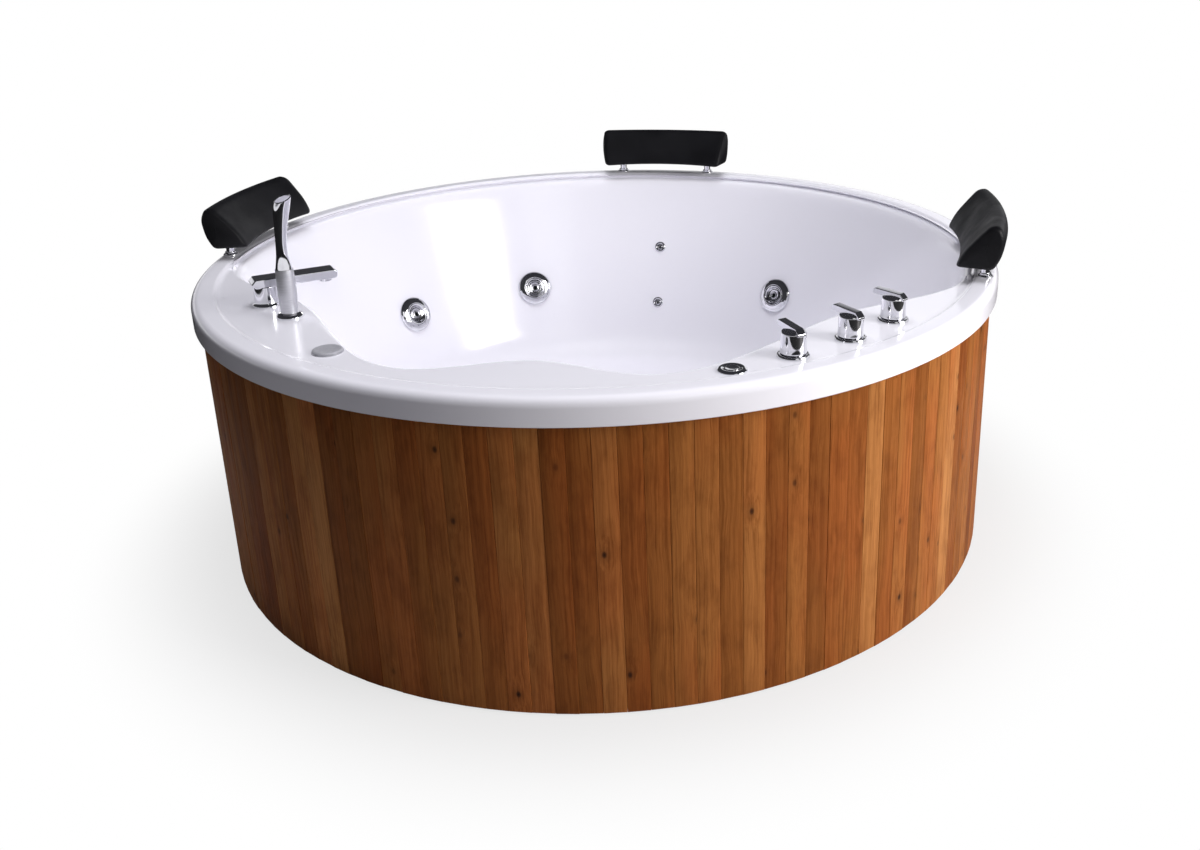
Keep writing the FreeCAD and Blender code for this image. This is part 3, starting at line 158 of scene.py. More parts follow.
def net_column(angle):
    """One column of the wall's control net, from the mouth down to the floor."""
    east, north = math.cos(math.radians(angle)), math.sin(math.radians(angle))
    pull = (2 + math.cos(2 * math.pi / NET_COLUMNS)) / 3
    top = DECK_MID - DECK_SLOPE * wall_ring(angle, MOUTH_HEIGHT) * north
    edge = wall_ring(angle, top) + MOUTH_ROUND
    knee = FLOOR_HEIGHT + FLOOR_ROUND
    heights = (top, top - MOUTH_ROUND, (top + knee) / 2, knee, FLOOR_HEIGHT)
    stops = [(edge, DECK_MID - DECK_SLOPE * edge / pull * north)]
    stops += [(wall_ring(angle, z), z) for z in heights]
    stops.append((wall_ring(angle, FLOOR_HEIGHT) - FLOOR_ROUND, FLOOR_HEIGHT))
    return [(ring / pull * east, ring / pull * north, z) for ring, z in stops]


def clamped_shares(step, count):
    """How much each of a clamped cubic's control points counts at a step along it."""
    knots = [0.0] * 3 + list(range(count - 2)) + [count - 3.0] * 3
    span = min(int(step), count - 4) + 3
    shares = [0.0] * (count + 4)
    shares[span] = 1.0
    for order in range(1, 4):
        for i in range(count):
            last = knots[min(i + order + 1, len(knots) - 1)]
            near, far = knots[i + order] - knots[i], last - knots[i + 1]
            rising = (step - knots[i]) / near * shares[i] if near else 0.0
            falling = (last - step) / far * shares[i + 1] if far else 0.0
            shares[i] = rising + falling
    return shares[:count]


def closed_shares(step):
    """The same for the closed cubic that runs round the tub."""
    first, t = int(step), step % 1
    parts = ((1 - t) ** 3, 3 * t ** 3 - 6 * t ** 2 + 4, -3 * t ** 3 + 3 * t ** 2 + 3 * t + 1, t ** 3)
    shares = np.zeros(NET_COLUMNS)
    for offset, part in zip((-1, 0, 1, 2), parts):
        shares[(first + offset) % NET_COLUMNS] += part / 6
    return shares


def shell_rows():
    """The seen skin as rings of points, from the foot of the lip over the rim and down to the floor."""
    net = np.array([net_column(360 * i / NET_COLUMNS) for i in range(NET_COLUMNS)])
    around = np.array([closed_shares(NET_COLUMNS * i / SHELL_COLUMNS) for i in range(SHELL_COLUMNS)])
    stops = net.shape[1]
    down = np.array([clamped_shares(t, stops) for t in np.linspace(0, stops - 3, WALL_ROWS)])
    wall = np.einsum("ci,vj,ijk->vck", around, down, net)
    turn = np.arctan2(wall[0, :, 1], wall[0, :, 0])
    mouth = np.hypot(wall[0, :, 0], wall[0, :, 1])

    def ring(radius, z):
        radius, z = np.broadcast_to(radius, turn.shape), np.broadcast_to(z, turn.shape)
        return np.stack((radius * np.cos(turn), radius * np.sin(turn), z), axis=1)

    def deck_z(radius):
        return DECK_MID - DECK_SLOPE * radius * np.sin(turn)

    rows = [ring(RIM_RADIUS - LIP_EASE, LIP_FOOT), ring(RIM_RADIUS, LIP_FOOT + LIP_EASE)]
    rows += [ring(RIM_RADIUS, LIP_FOOT + step) for step in LIP_STEPS]
    for bend in np.linspace(0, math.pi / 2, RIM_ROWS):
        rows.append(ring(RIM_RADIUS - RIM_ROUND * (1 - math.cos(bend)),
                         RIM_TOP - RIM_ROUND * (1 - math.sin(bend))))
    quarter = BEAD_ROUND * math.pi / 2
    drop = RIM_TOP - BEAD_ROUND - deck_z(BEAD_RADIUS)
    sunk = np.arcsin(np.clip(-drop / BEAD_ROUND, 0, 1))
    length = quarter + np.where(drop > 0, drop, -sunk * BEAD_ROUND)
    fillet = np.minimum(BEAD_FILLET, length / 2)

    def bead(along):
        bend = np.minimum(along, quarter) / BEAD_ROUND
        radius = BEAD_RADIUS + BEAD_ROUND * (1 - np.sin(bend))
        return radius, RIM_TOP - BEAD_ROUND * (1 - np.cos(bend)) - np.maximum(along - quarter, 0)

    rows.append(ring((RIM_RADIUS - RIM_ROUND + BEAD_RADIUS + BEAD_ROUND) / 2, RIM_TOP))
    rows += [ring(*bead(share * (length - fillet))) for share in np.linspace(0, 1, BEAD_ROWS)]
    high, corner = bead(length - fillet), bead(length)
    low = (corner[0] - fillet, deck_z(corner[0] - fillet))
    for t in np.linspace(0, 1, FILLET_ROWS)[1:]:
        blend = [(1 - t) ** 2 * a + 2 * t * (1 - t) * b + t ** 2 * c for a, b, c in zip(high, corner, low)]
        rows.append(ring(*blend))
    for share in np.linspace(0, 1, DECK_ROWS)[1:-1]:
        radius = low[0] + (mouth - low[0]) * share
        rows.append(ring(radius, deck_z(radius)))
    rows += list(wall)
    rows += [wall[-1] * (share, share, 1) for share in np.linspace(1, FLOOR_EYE, FLOOR_ROWS)[1:]]
    return np.array(rows)


def eased(corners, closed, steps=4):
    """A profile of (radius, height, ease) corners, each rounded by its own ease."""
    soft = []
    for k, (radius, height, ease) in enumerate(corners):
        here = Vector((radius, height))
        if ease == 0 or (not closed and k in (0, len(corners) - 1)):
            soft.append(here)
            continue
        before, after = Vector(corners[k - 1][:2]), Vector(corners[(k + 1) % len(corners)][:2])
        start = here + (before - here).normalized() * ease
        end = here + (after - here).normalized() * ease
        for t in (step / steps for step in range(steps + 1)):
            soft.append((1 - t) ** 2 * start + 2 * t * (1 - t) * here + t ** 2 * end)
    return soft


def turned(shape, corners, place, around=64, closed=False):
    """Add a piece turned about its own Z axis; an open profile starts and ends on that axis."""
    rings = []
    for radius, height in eased(corners, closed):
        if radius < 1e-6:
            rings.append([shape.verts.new(place @ Vector((0, 0, height)))] * around)
            continue
        angles = (2 * math.pi * i / around for i in range(around))
        rings.append([shape.verts.new(place @ Vector((radius * math.cos(a), radius * math.sin(a), height)))
                      for a in angles])
    pairs = list(zip(rings, rings[1:])) + ([(rings[-1], rings[0])] if closed else [])
    made = []
    for low, high in pairs:
        for i in range(around):
            j = (i + 1) % around
            corner_set = list(dict.fromkeys((low[i], low[j], high[j], high[i])))
            if len(corner_set) > 2:
                made.append(shape.faces.new(corner_set))
    bmesh.ops.recalc_face_normals(shape, faces=made)


def creased(mesh, angle=35):
    """Shade a mesh smooth apart from edges sharper than an angle."""
    mesh.shade_smooth()
    mesh.set_sharp_from_angle(angle=math.radians(angle))
    return mesh


def solid(name, shape, angle=35):
    """A mesh from finished shape data."""
    mesh = bpy.data.meshes.new(name)
    shape.to_mesh(mesh)
    shape.free()
    return creased(mesh, angle)


def loose(name, mesh):
    """A mesh put in the scene on no body yet."""
    made = bpy.data.objects.new(name, mesh)
    bpy.context.scene.collection.objects.link(made)
    return made


def piece(name, mesh, finish, body, slot, *stood_for):
    """Put a finished mesh in the scene, on its body, in place of its CAD nodes."""
    made = loose(name, mesh)
    mesh.materials.clear()
    mesh.materials.append(finish)
    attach(made, body)
    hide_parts(*stood_for)
    return made


def settled(made):
    """The object's mesh with its modifiers worked in; the object itself goes."""
    depsgraph = bpy.context.evaluated_depsgraph_get()
    mesh = bpy.data.meshes.new_from_object(
        made.evaluated_get(depsgraph), preserve_all_data_layers=True, depsgraph=depsgraph)
    bpy.data.objects.remove(made)
    return mesh


def combined(body, tool, operation, solver, angle=35):
    """A loose object with another one cut out of it or joined to it, as a mesh."""
    step = body.modifiers.new("combine", "BOOLEAN")
    step.operation = operation
    step.solver = solver
    step.object = tool
    mesh = settled(body)
    bpy.data.objects.remove(tool)
    return creased(mesh, angle)


def dress(node, **inlets):
    """Fill a node's inlets, each with a value or another node's outlet; i0, i1 and so on go by number."""
    for word, value in inlets.items():
        inlet = node.inputs[int(word[1:]) if word[1:].isdigit() else word.replace("_", " ")]
        if isinstance(value, bpy.types.NodeSocket):
            node.id_data.links.new(value, inlet)
        else:
            inlet.default_value = value
    return node


def put(tree, kind, settings=None, **inlets):
    """Add a node and fill its inlets."""
    made = tree.nodes.new(kind)
    for word, value in (settings or {}).items():
        setattr(made, word, value)
    return dress(made, **inlets)


def graph(tree, stops, share):
    """A colour ramp read at a share."""
    made = put(tree, "ShaderNodeValToRGB", Fac=share)
    while len(made.color_ramp.elements) < len(stops):
        made.color_ramp.elements.new(0.5)
    for element, (place, colour) in zip(made.color_ramp.elements, stops):
        element.position = place
        element.color = (*colour, 1)
    return made.outputs["Color"]


def object_spot(tree):
    """Where a point lies on its piece."""
    return put(tree, "ShaderNodeTexCoord").outputs["Object"]


def noise(tree, at, scale, detail, rough=0.5):
    """Soft noise at a place, between 0 and 1."""
    made = put(tree, "ShaderNodeTexNoise", Vector=at, Scale=scale, Detail=detail, Roughness=rough)
    return made.outputs["Fac"]


def ranged(tree, share, start, end, low, high, way="LINEAR"):
    """A share read from start to end and laid out from low to high."""
    made = put(tree, "ShaderNodeMapRange", {"interpolation_type": way},
               i0=share, i1=start, i2=end, i3=low, i4=high)
    return made.outputs[0]


def bumped(tree, height, strength, distance):
    """The normal of a surface raised by a height."""
    return put(tree, "ShaderNodeBump", Strength=strength, Distance=distance, Height=height).outputs["Normal"]


def new_finish(name):
    """A material with an empty Principled surface."""
    made = bpy.data.materials.new(name)
    made.use_nodes = True
    tree = made.node_tree
    return made, tree, tree.nodes["Principled BSDF"]


def new_tree(name, kind, inlets, outlet):
    """A node group with its inlets and outlet named, and what comes in by those inlets."""
    tree = bpy.data.node_groups.new(name, kind)
    for way, sockets in (("INPUT", inlets), ("OUTPUT", outlet)):
        for word, socket in sockets.items():
            tree.interface.new_socket(name=word, in_out=way, socket_type="NodeSocket" + socket)
    return tree, tree.nodes.new("NodeGroupInput").outputs


def finger_marks():
    """Shared effect: broad, soft changes of gloss where hands and cloths have passed."""
    tree, given = new_tree("finger_marks", "ShaderNodeTree",
                           {"Scale": "Float", "Low": "Float", "High": "Float"}, {"Roughness": "Float"})
    cloud = noise(tree, object_spot(tree), given["Scale"], 5.0, 0.62)
    put(tree, "NodeGroupOutput", Roughness=ranged(tree, cloud, 0.35, 0.72, given["Low"], given["High"]))
    return tree


FINGER_MARKS = finger_marks()


def handled(tree, scale, low, high):
    """Roughness between low and high, changed by finger marks."""
    made = put(tree, "ShaderNodeGroup", {"node_tree": FINGER_MARKS}, Scale=scale, Low=low, High=high)
    return made.outputs["Roughness"]


acrylic, tree, surface = new_finish("white_acrylic")
spot = object_spot(tree)
tone = graph(tree, ((0.3, (0.868, 0.858, 0.925)), (0.7, (0.886, 0.876, 0.938))), noise(tree, spot, 2.2, 3.0))
dress(surface, Base_Color=tone, Roughness=handled(tree, 5.0, 0.13, 0.24), Coat_Weight=0.35,
      Coat_Roughness=0.12, Normal=bumped(tree, noise(tree, spot, 260.0, 1.0), 0.012, 0.001))

rows = shell_rows()
points = [tuple(point) for ring in rows for point in ring]
points.append((0, 0, FLOOR_HEIGHT))
faces = []
for i in range(len(rows) - 1):
    for j in range(SHELL_COLUMNS):
        k = (j + 1) % SHELL_COLUMNS
        faces.append((i * SHELL_COLUMNS + j, i * SHELL_COLUMNS + k,
                      (i + 1) * SHELL_COLUMNS + k, (i + 1) * SHELL_COLUMNS + j))
last_ring = (len(rows) - 1) * SHELL_COLUMNS
for j in range(SHELL_COLUMNS):
    faces.append((last_ring + j, last_ring + (j + 1) % SHELL_COLUMNS, len(points) - 1))
skin = bpy.data.meshes.new("tub_skin")
skin.from_pydata(points, [], faces)
moulding = loose("moulding", skin)
backing = moulding.modifiers.new("backing", "SOLIDIFY")
backing.thickness = SHEET
backing.offset = -1
moulding = loose("moulding", settled(moulding))

cutters = bmesh.new()


def drill(place, hole, seat=None, sunk=0.0):
    """A hole through the sheet, with a flat seat in front of it if a flange lies in the wall."""
    below, above = -4 * SHEET, 2 * SHEET
    corners = [(0, below, 0), (hole, below, 0)]
    if seat:
        corners += [(hole, -sunk, 0), (seat, -sunk, 0)]
    corners += [(seat or hole, above, 0), (0, above, 0)]
    turned(cutters, corners, place, 48)


for spread in JET_SPREAD.values():
    drill(on_wall(SEAT_AXIS + spread, JET_HEIGHT), *JET_HOLE)
for height in SMALL_JET_HEIGHTS:
    drill(on_wall(SEAT_AXIS, height), *SMALL_JET_HOLE)
drill(on_wall(SUCTION_ANGLE, SUCTION_HEIGHT), *SUCTION_HOLE)
drill(Matrix.Translation((0, 0, FLOOR_HEIGHT)), *WASTE_HOLE)
for deck_spot, hole in DECK_HOLES.items():
    drill(on_deck(*deck_spot), hole)
for deck_spot in VALVES.values():
    drill(on_deck(*deck_spot), VALVE_HOLE)
for seat in SEATS.values():
    for place in post_places(seat):
        drill(place, POST_HOLE)
cutter = loose("cutters", solid("cutters", cutters))
shell_mesh = combined(moulding, cutter, "DIFFERENCE", "EXACT", SHELL_CREASE)
piece("tub_moulding", shell_mesh, acrylic, "tub", "white_acrylic", "tub_shell")


# Skirt: 128 upright ship-lapped staves of heat-treated softwood, planed with eased edges and nailed to
# hoops inside. Each is cut from another board, so tone, grain and knots change from stave to stave.
STAVE_COUNT = 128
STAVE_FACE = 0.788
STAVE_BACK = 0.772
STAVE_FOOT = 0.003
STAVE_TOP = 0.530
STAVE_GAP = 0.0003
STAVE_EASE = 0.0007
STAVE_LAP = 0.0025
STAVE_REBATE = 0.780
STAVE_TONGUE = STAVE_REBATE - 0.001
FOOT_RISE = 0.001
FOOT_INSET = 0.0008
STAVE_CREASE = 50
STAVE_PROUD = 0.0006
STAVE_SEED = 11
GRAIN_STRETCH = (30.0, 30.0, 30.0)


def lofted(shape, rings):
    """Add faces from ring to ring, closed at both ends."""
    made = []
    for low, high in zip(rings, rings[1:]):
        for i in range(len(low)):
            j = (i + 1) % len(low)
            made.append(shape.faces.new((low[i], low[j], high[j], high[i])))
    made += [shape.faces.new(rings[0]), shape.faces.new(rings[-1])]
    bmesh.ops.recalc_face_normals(shape, faces=made)
    return shape


def one_stave():
    """A single stave standing at the +X side of the tub."""
    half_turn = math.tan(math.pi / STAVE_COUNT)
    front, middle, back = (
        radius * half_turn - STAVE_GAP / 2 for radius in (STAVE_FACE, STAVE_REBATE, STAVE_BACK))
    corners = [(STAVE_BACK, STAVE_LAP - back, 0), (STAVE_REBATE, STAVE_LAP - middle, 0),
               (STAVE_REBATE, -middle, 0), (STAVE_FACE, -front, STAVE_EASE), (STAVE_FACE, front, STAVE_EASE),
               (STAVE_TONGUE, middle, 0), (STAVE_TONGUE, middle + STAVE_LAP, 0),
               (STAVE_BACK, back + STAVE_LAP, 0)]
    section = eased(corners, True, 3)
    shape = bmesh.new()
    levels = ((STAVE_FOOT, FOOT_INSET), (STAVE_FOOT + FOOT_RISE, 0.0), (STAVE_TOP, 0.0))
    rings = [[shape.verts.new((x - inset, y, z)) for x, y in section] for z, inset in levels]
    return solid("stave", lofted(shape, rings), STAVE_CREASE)


def sums(tree, operation, *terms, kind="ShaderNodeMath"):
    """The result of a sum of one to three terms."""
    inlets = {f"i{k}": term for k, term in enumerate(terms)}
    return put(tree, kind, {"operation": operation}, **inlets).outputs[0]


def vector_sums(tree, operation, *terms):
    """The same for vectors."""
    return sums(tree, operation, *terms, kind="ShaderNodeVectorMath")


def chance(tree, seed, kind="FLOAT", **limits):
    """A random value for each instance."""
    return put(tree, "FunctionNodeRandomValue", {"data_type": kind}, Seed=seed, **limits).outputs


def marked(tree, shape, word, kind, domain, value):
    """A shape that carries a value under a word."""
    made = put(tree, "GeometryNodeStoreNamedAttribute", {"data_type": kind, "domain": domain},
               Geometry=shape, Name=word, Value=value)
    return made.outputs["Geometry"]


def closed_tree(tree, instances, finish, outlet):
    """End a tree: its instances made real, with their finish."""
    whole = put(tree, "GeometryNodeRealizeInstances", Geometry=instances).outputs["Geometry"]
    done = put(tree, "GeometryNodeSetMaterial", Geometry=whole, Material=finish).outputs["Geometry"]
    put(tree, "NodeGroupOutput", **{outlet: done})
    return tree


def stave_ring():
    """Geometry Nodes: one stave set round the tub, each with its own tone and its own stretch of grain."""
    tree, given = new_tree("stave_ring", "GeometryNodeTree", {
        "Stave": "Geometry", "Staves": "Int", "Proud": "Float", "Seed": "Int", "Timber": "Material"},
        {"Skirt": "Geometry"})
    here = put(tree, "GeometryNodeInputPosition").outputs["Position"]
    board = marked(tree, given["Stave"], "board", "FLOAT_VECTOR", "POINT", here)
    spots = put(tree, "GeometryNodePoints", Count=given["Staves"]).outputs[0]
    index = put(tree, "GeometryNodeInputIndex").outputs["Index"]
    share = sums(tree, "DIVIDE", sums(tree, "ADD", index, 0.5), given["Staves"])
    facing = put(tree, "ShaderNodeCombineXYZ", Z=sums(tree, "MULTIPLY", share, 2 * math.pi)).outputs["Vector"]
    set_round = put(tree, "GeometryNodeInstanceOnPoints", Points=spots, Instance=board, Rotation=facing)
    depth = chance(tree, given["Seed"], i2=-1.0, i3=0.0)[1]
    inset = sums(tree, "MULTIPLY", depth, given["Proud"])
    step = put(tree, "ShaderNodeCombineXYZ", X=inset).outputs["Vector"]
    uneven = put(tree, "GeometryNodeTranslateInstances", Instances=set_round.outputs["Instances"],
                 Translation=step, Local_Space=True).outputs["Instances"]
    tone = chance(tree, sums(tree, "ADD", given["Seed"], 1.0))[1]
    toned = marked(tree, uneven, "tone", "FLOAT", "INSTANCE", tone)
    stretch = chance(tree, sums(tree, "ADD", given["Seed"], 2.0), "FLOAT_VECTOR", i1=GRAIN_STRETCH)[0]
    grained = marked(tree, toned, "stretch", "FLOAT_VECTOR", "INSTANCE", stretch)
    return closed_tree(tree, grained, given["Timber"], "Skirt")


def grown(holder, tree, **given):
    """The mesh that a Geometry Nodes tree makes from a holder."""
    setting = holder.modifiers.new(tree.name, "NODES")
    setting.node_group = tree
    for item in tree.interface.items_tree:
        if item.in_out == "INPUT" and item.name in given:
            setting[item.identifier] = given[item.name]
    return settled(holder)


def carried(tree, word, outlet="Fac"):
    """A value that the mesh carries under a word."""
    return put(tree, "ShaderNodeAttribute", {"attribute_name": word}).outputs[outlet]


def mixed(tree, share, under, over, way="MIX"):
    """One colour laid over another."""
    made = put(tree, "ShaderNodeMix", {"data_type": "RGBA", "blend_type": way}, i0=share, i6=under, i7=over)
    return made.outputs[2]


def streaks(tree, at, reach, detail, rough=0.5):
    """Noise drawn out by its own reach along each axis."""
    return noise(tree, vector_sums(tree, "MULTIPLY", at, reach), 1.0, detail, rough)


timber, tree, surface = new_finish("wood_staves")
along = vector_sums(tree, "ADD", carried(tree, "board", "Vector"), carried(tree, "stretch", "Vector"))
aside, upward = put(tree, "ShaderNodeSeparateXYZ", Vector=along).outputs[1:]
knot_at = put(tree, "ShaderNodeCombineXYZ", X=sums(tree, "MULTIPLY", aside, 17.0),
              Y=sums(tree, "MULTIPLY", upward, 11.0)).outputs[0]
knot = put(tree, "ShaderNodeTexVoronoi", {"voronoi_dimensions": "2D"}, Vector=knot_at,
           Scale=1.0, Randomness=1.0).outputs
knot_pick = put(tree, "ShaderNodeSeparateColor", Color=knot["Color"]).outputs[0]
knot_here = ranged(tree, knot_pick, 0.68, 0.95, 0.0, 1.0)
knot_core = graph(tree, ((0.0, (1, 1, 1)), (0.045, (0.8, 0.8, 0.8)), (0.08, (0.25, 0.25, 0.25)),
                         (0.2, (0, 0, 0))), knot["Distance"])
swell = sums(tree, "MULTIPLY", ranged(tree, knot["Distance"], 0.0, 0.5, 1.6, 0.0, "SMOOTHSTEP"), knot_here)
sway_at = vector_sums(tree, "MULTIPLY", along, (9.0, 14.0, 5.5))
sway = put(tree, "ShaderNodeTexNoise", Vector=sway_at, Scale=1.0, Detail=3.0).outputs["Color"]
swayed = vector_sums(tree, "MULTIPLY_ADD", sway, (0.012, 0.020, 0.0), along)
ring_line = vector_sums(tree, "MULTIPLY", swayed, (70.0, 210.0, 2.6))
round_knots = put(tree, "ShaderNodeCombineXYZ", X=swell).outputs[0]
rings = noise(tree, vector_sums(tree, "ADD", ring_line, round_knots), 1.0, 3.0, 0.65)
pores = streaks(tree, swayed, (400.0, 1100.0, 22.0), 2.0)
stain = streaks(tree, along, (5.0, 34.0, 13.0), 4.0, 0.6)
flush = streaks(tree, along, (2.0, 9.0, 3.0), 1.0)
wood = graph(tree, ((0.0, (0.215, 0.068, 0.015)), (0.3, (0.300, 0.104, 0.025)), (0.75, (0.375, 0.140, 0.038)),
                    (1.0, (0.470, 0.198, 0.064))), carried(tree, "tone"))
for share, drift, stops in (
        (1.0, flush, ((0.38, (1.0, 0.86, 0.80)), (0.58, (1.0, 1.02, 1.0)))),
        (0.8, rings, ((0.34, (0.66, 0.60, 0.55)), (0.56, (1.0, 1.0, 1.0)), (0.72, (1.12, 1.12, 1.10)))),
        (0.6, pores, ((0.33, (0.70, 0.66, 0.62)), (0.55, (1.0, 1.0, 1.0)))),
        (0.65, stain, ((0.34, (0.66, 0.60, 0.55)), (0.54, (1.0, 1.0, 1.0))))):
    wood = mixed(tree, share, wood, graph(tree, stops, drift), "MULTIPLY")
wood = mixed(tree, sums(tree, "MULTIPLY", knot_core, knot_here), wood, (0.022, 0.008, 0.004, 1))
relief = sums(tree, "MULTIPLY_ADD", pores, 0.5, rings)
dress(surface, Base_Color=wood, Roughness=ranged(tree, rings, 0.3, 0.7, 0.66, 0.52),
      Normal=bumped(tree, relief, 0.22, 0.0015), Specular_IOR_Level=0.06)

skirt_mesh = grown(loose("stave", one_stave()), stave_ring(), Staves=STAVE_COUNT, Proud=STAVE_PROUD,
                   Seed=STAVE_SEED, Timber=timber)
piece("stave_skirt", skirt_mesh, timber, "tub", "wood_staves",
      "staves_right", "staves_back", "staves_left", "staves_front")


# Swivel jets: four chrome-plated rings let into the wall, each holding a ball with a nozzle bore.
# The ring turns to open the water and the ball tilts; both are moulded and plated.
def plated(name, colour, low, high, marks_scale, grain):
    """A bright metal whose gloss drifts over the surface."""
    made, tree, surface = new_finish(name)
    spot = object_spot(tree)
    dim = tuple(0.93 * part for part in colour)
    dress(surface, Base_Color=graph(tree, ((0.35, dim), (0.65, colour)), noise(tree, spot, 40.0, 2.0)),
          Roughness=handled(tree, marks_scale, low, high), Metallic=1.0,
          Normal=bumped(tree, noise(tree, spot, 900.0, 1.0), grain, 0.0004))
    return made


def turned_piece(name, corners, place, finish, body, slot, node, around=72, closed=False):
    """A turned piece put in the scene in place of its CAD node."""
    shape = bmesh.new()
    turned(shape, corners, place, around, closed)
    return piece(name, solid(name, shape), finish, body, slot, node)


chrome = plated("chrome", (0.82, 0.82, 0.85), 0.03, 0.09, 30.0, 0.01)
eyeball_grey = plated("eyeball_grey", (0.66, 0.66, 0.69), 0.10, 0.22, 60.0, 0.03)
RING_PROFILE = [
    (0.0173, -0.014, 0), (0.0234, -0.014, 0), (0.0234, 0.0023, 0), (0.0403, 0.0023, 0), (0.0403, 0.0003, 0),
    (0.043, 0.0003, 0), (0.043, 0.0030, 0.0012), (0.0400, 0.0072, 0.004), (0.0345, 0.0100, 0.006),
    (0.0272, 0.0110, 0.0008), (0.0264, 0.0092, 0.0004), (0.0256, 0.0110, 0.0006), (0.0226, 0.0110, 0.0012),
    (0.0200, 0.0066, 0.0008), (0.0186, 0.0048, 0.0006), (0.0173, 0.0046, 0)]
EYE_RADIUS = 0.017
EYE_SINK = 0.001
EYE_BORE = 0.005
EYE_TOP = 0.009
EYE_STEPS = 18
EYE_FACE = [(0.0108, 0.0086, 0.001), (0.0092, 0.0062, 0.0008), (0.0078, 0.0062, 0.0006),
            (0.0072, 0.0080, 0.0006), (0.0060, 0.0080, 0.0006), (EYE_BORE, 0.0066, 0.0005)]


def eye_profile():
    """A ball from the foot of its bore round to its flat face, and the nozzle set in that face."""
    low = math.asin(-math.sqrt(EYE_RADIUS ** 2 - EYE_BORE ** 2) / EYE_RADIUS)
    high = math.asin((EYE_TOP + EYE_SINK) / EYE_RADIUS)
    bends = [low + (high - low) * i / EYE_STEPS for i in range(EYE_STEPS + 1)]
    return [(EYE_RADIUS * math.cos(b), EYE_RADIUS * math.sin(b) - EYE_SINK, 0) for b in bends] + EYE_FACE


for label, spread in JET_SPREAD.items():
    place = on_wall(SEAT_AXIS + spread, JET_HEIGHT)
    turned_piece("jet_bezel_" + label, RING_PROFILE, place, chrome, "ring_" + label, "chrome",
                 "jet_ring_" + label, 96, True)
    turned_piece("jet_ball_" + label, eye_profile(), place, eyeball_grey, "eyeball_" + label, "eyeball_grey",
                 "jet_eyeball_" + label, 64, True)


# Small jets, valve flanges and pillow sockets: turned brass, chrome plated, pushed through the sheet from
# the seen side and held by nuts behind it. Each kind is one piece set out on its own spots.
def set_out_tree():
    """Geometry Nodes: one finished piece on every spot, turned as the spot says."""
    tree, given = new_tree("set_out", "GeometryNodeTree", {
        "Spots": "Geometry", "Item": "Object", "Finish": "Material"}, {"Pieces": "Geometry"})
    item = put(tree, "GeometryNodeObjectInfo", Object=given["Item"], As_Instance=True).outputs["Geometry"]
    facing = put(tree, "GeometryNodeInputNamedAttribute", {"data_type": "FLOAT_VECTOR"}, Name="facing")
    placed = put(tree, "GeometryNodeInstanceOnPoints", Points=given["Spots"], Instance=item,
                 Rotation=facing.outputs["Attribute"]).outputs["Instances"]
    return closed_tree(tree, placed, given["Finish"], "Pieces")


SET_OUT = set_out_tree()


def set_out(name, profile, places, body, node, around=64, closed=True):
    """A turned chrome piece repeated on a list of places, as one mesh in place of its CAD node."""
    shape = bmesh.new()
    turned(shape, profile, Matrix(), around, closed)
    item = loose(name + "_item", solid(name, shape))
    spots = bpy.data.meshes.new(name + "_spots")
    spots.from_pydata([tuple(place.translation) for place in places], [], [])
    facing = spots.attributes.new("facing", "FLOAT_VECTOR", "POINT")
    for spot, place in zip(facing.data, places):
        spot.vector = place.to_euler("XYZ")
    mesh = grown(loose(name, spots), SET_OUT, Item=item, Finish=chrome)
    bpy.data.objects.remove(item)
    piece(name, mesh, chrome, body, "chrome", node)


SMALL_JET = [
    (0.003, -0.028, 0), (0.009, -0.028, 0), (0.009, 0.0, 0), (0.014, 0.0, 0), (0.014, 0.0016, 0.0008),
    (0.0118, 0.0040, 0.0012), (0.0090, 0.0036, 0.001), (0.0074, 0.0016, 0.0006), (0.0060, 0.0016, 0.0005),
    (0.0052, 0.0034, 0.0005), (0.0040, 0.0034, 0.0004), (0.003, 0.0020, 0.0003)]
FLANGE = [(0.0063, 0.0, 0), (0.027, 0.0, 0), (0.027, 0.0022, 0.001), (0.0256, 0.005, 0.0014),
          (0.0225, 0.005, 0.0008), (0.0215, 0.0042, 0), (0.0063, 0.0042, 0)]
SOCKET = [(0.0086, -0.028, 0), (0.0116, -0.028, 0), (0.0116, 0.0, 0), (0.0151, 0.0, 0),
          (0.0151, 0.0013, 0.0008), (0.0138, 0.0025, 0.0008), (0.0100, 0.0025, 0.0006), (0.0086, 0.0014, 0)]
small_places = [on_wall(SEAT_AXIS, height) for height in SMALL_JET_HEIGHTS]
set_out("small_nozzles", SMALL_JET, small_places, "tub", "small_jets")
set_out("lever_flanges", FLANGE, [on_deck(*spot) for spot in VALVES.values()], "tub", "valve_flanges")
socket_places = [place for seat in SEATS.values() for place in post_places(seat)]
set_out("rim_sockets", SOCKET, socket_places, "tub", "pillow_sockets", 48)


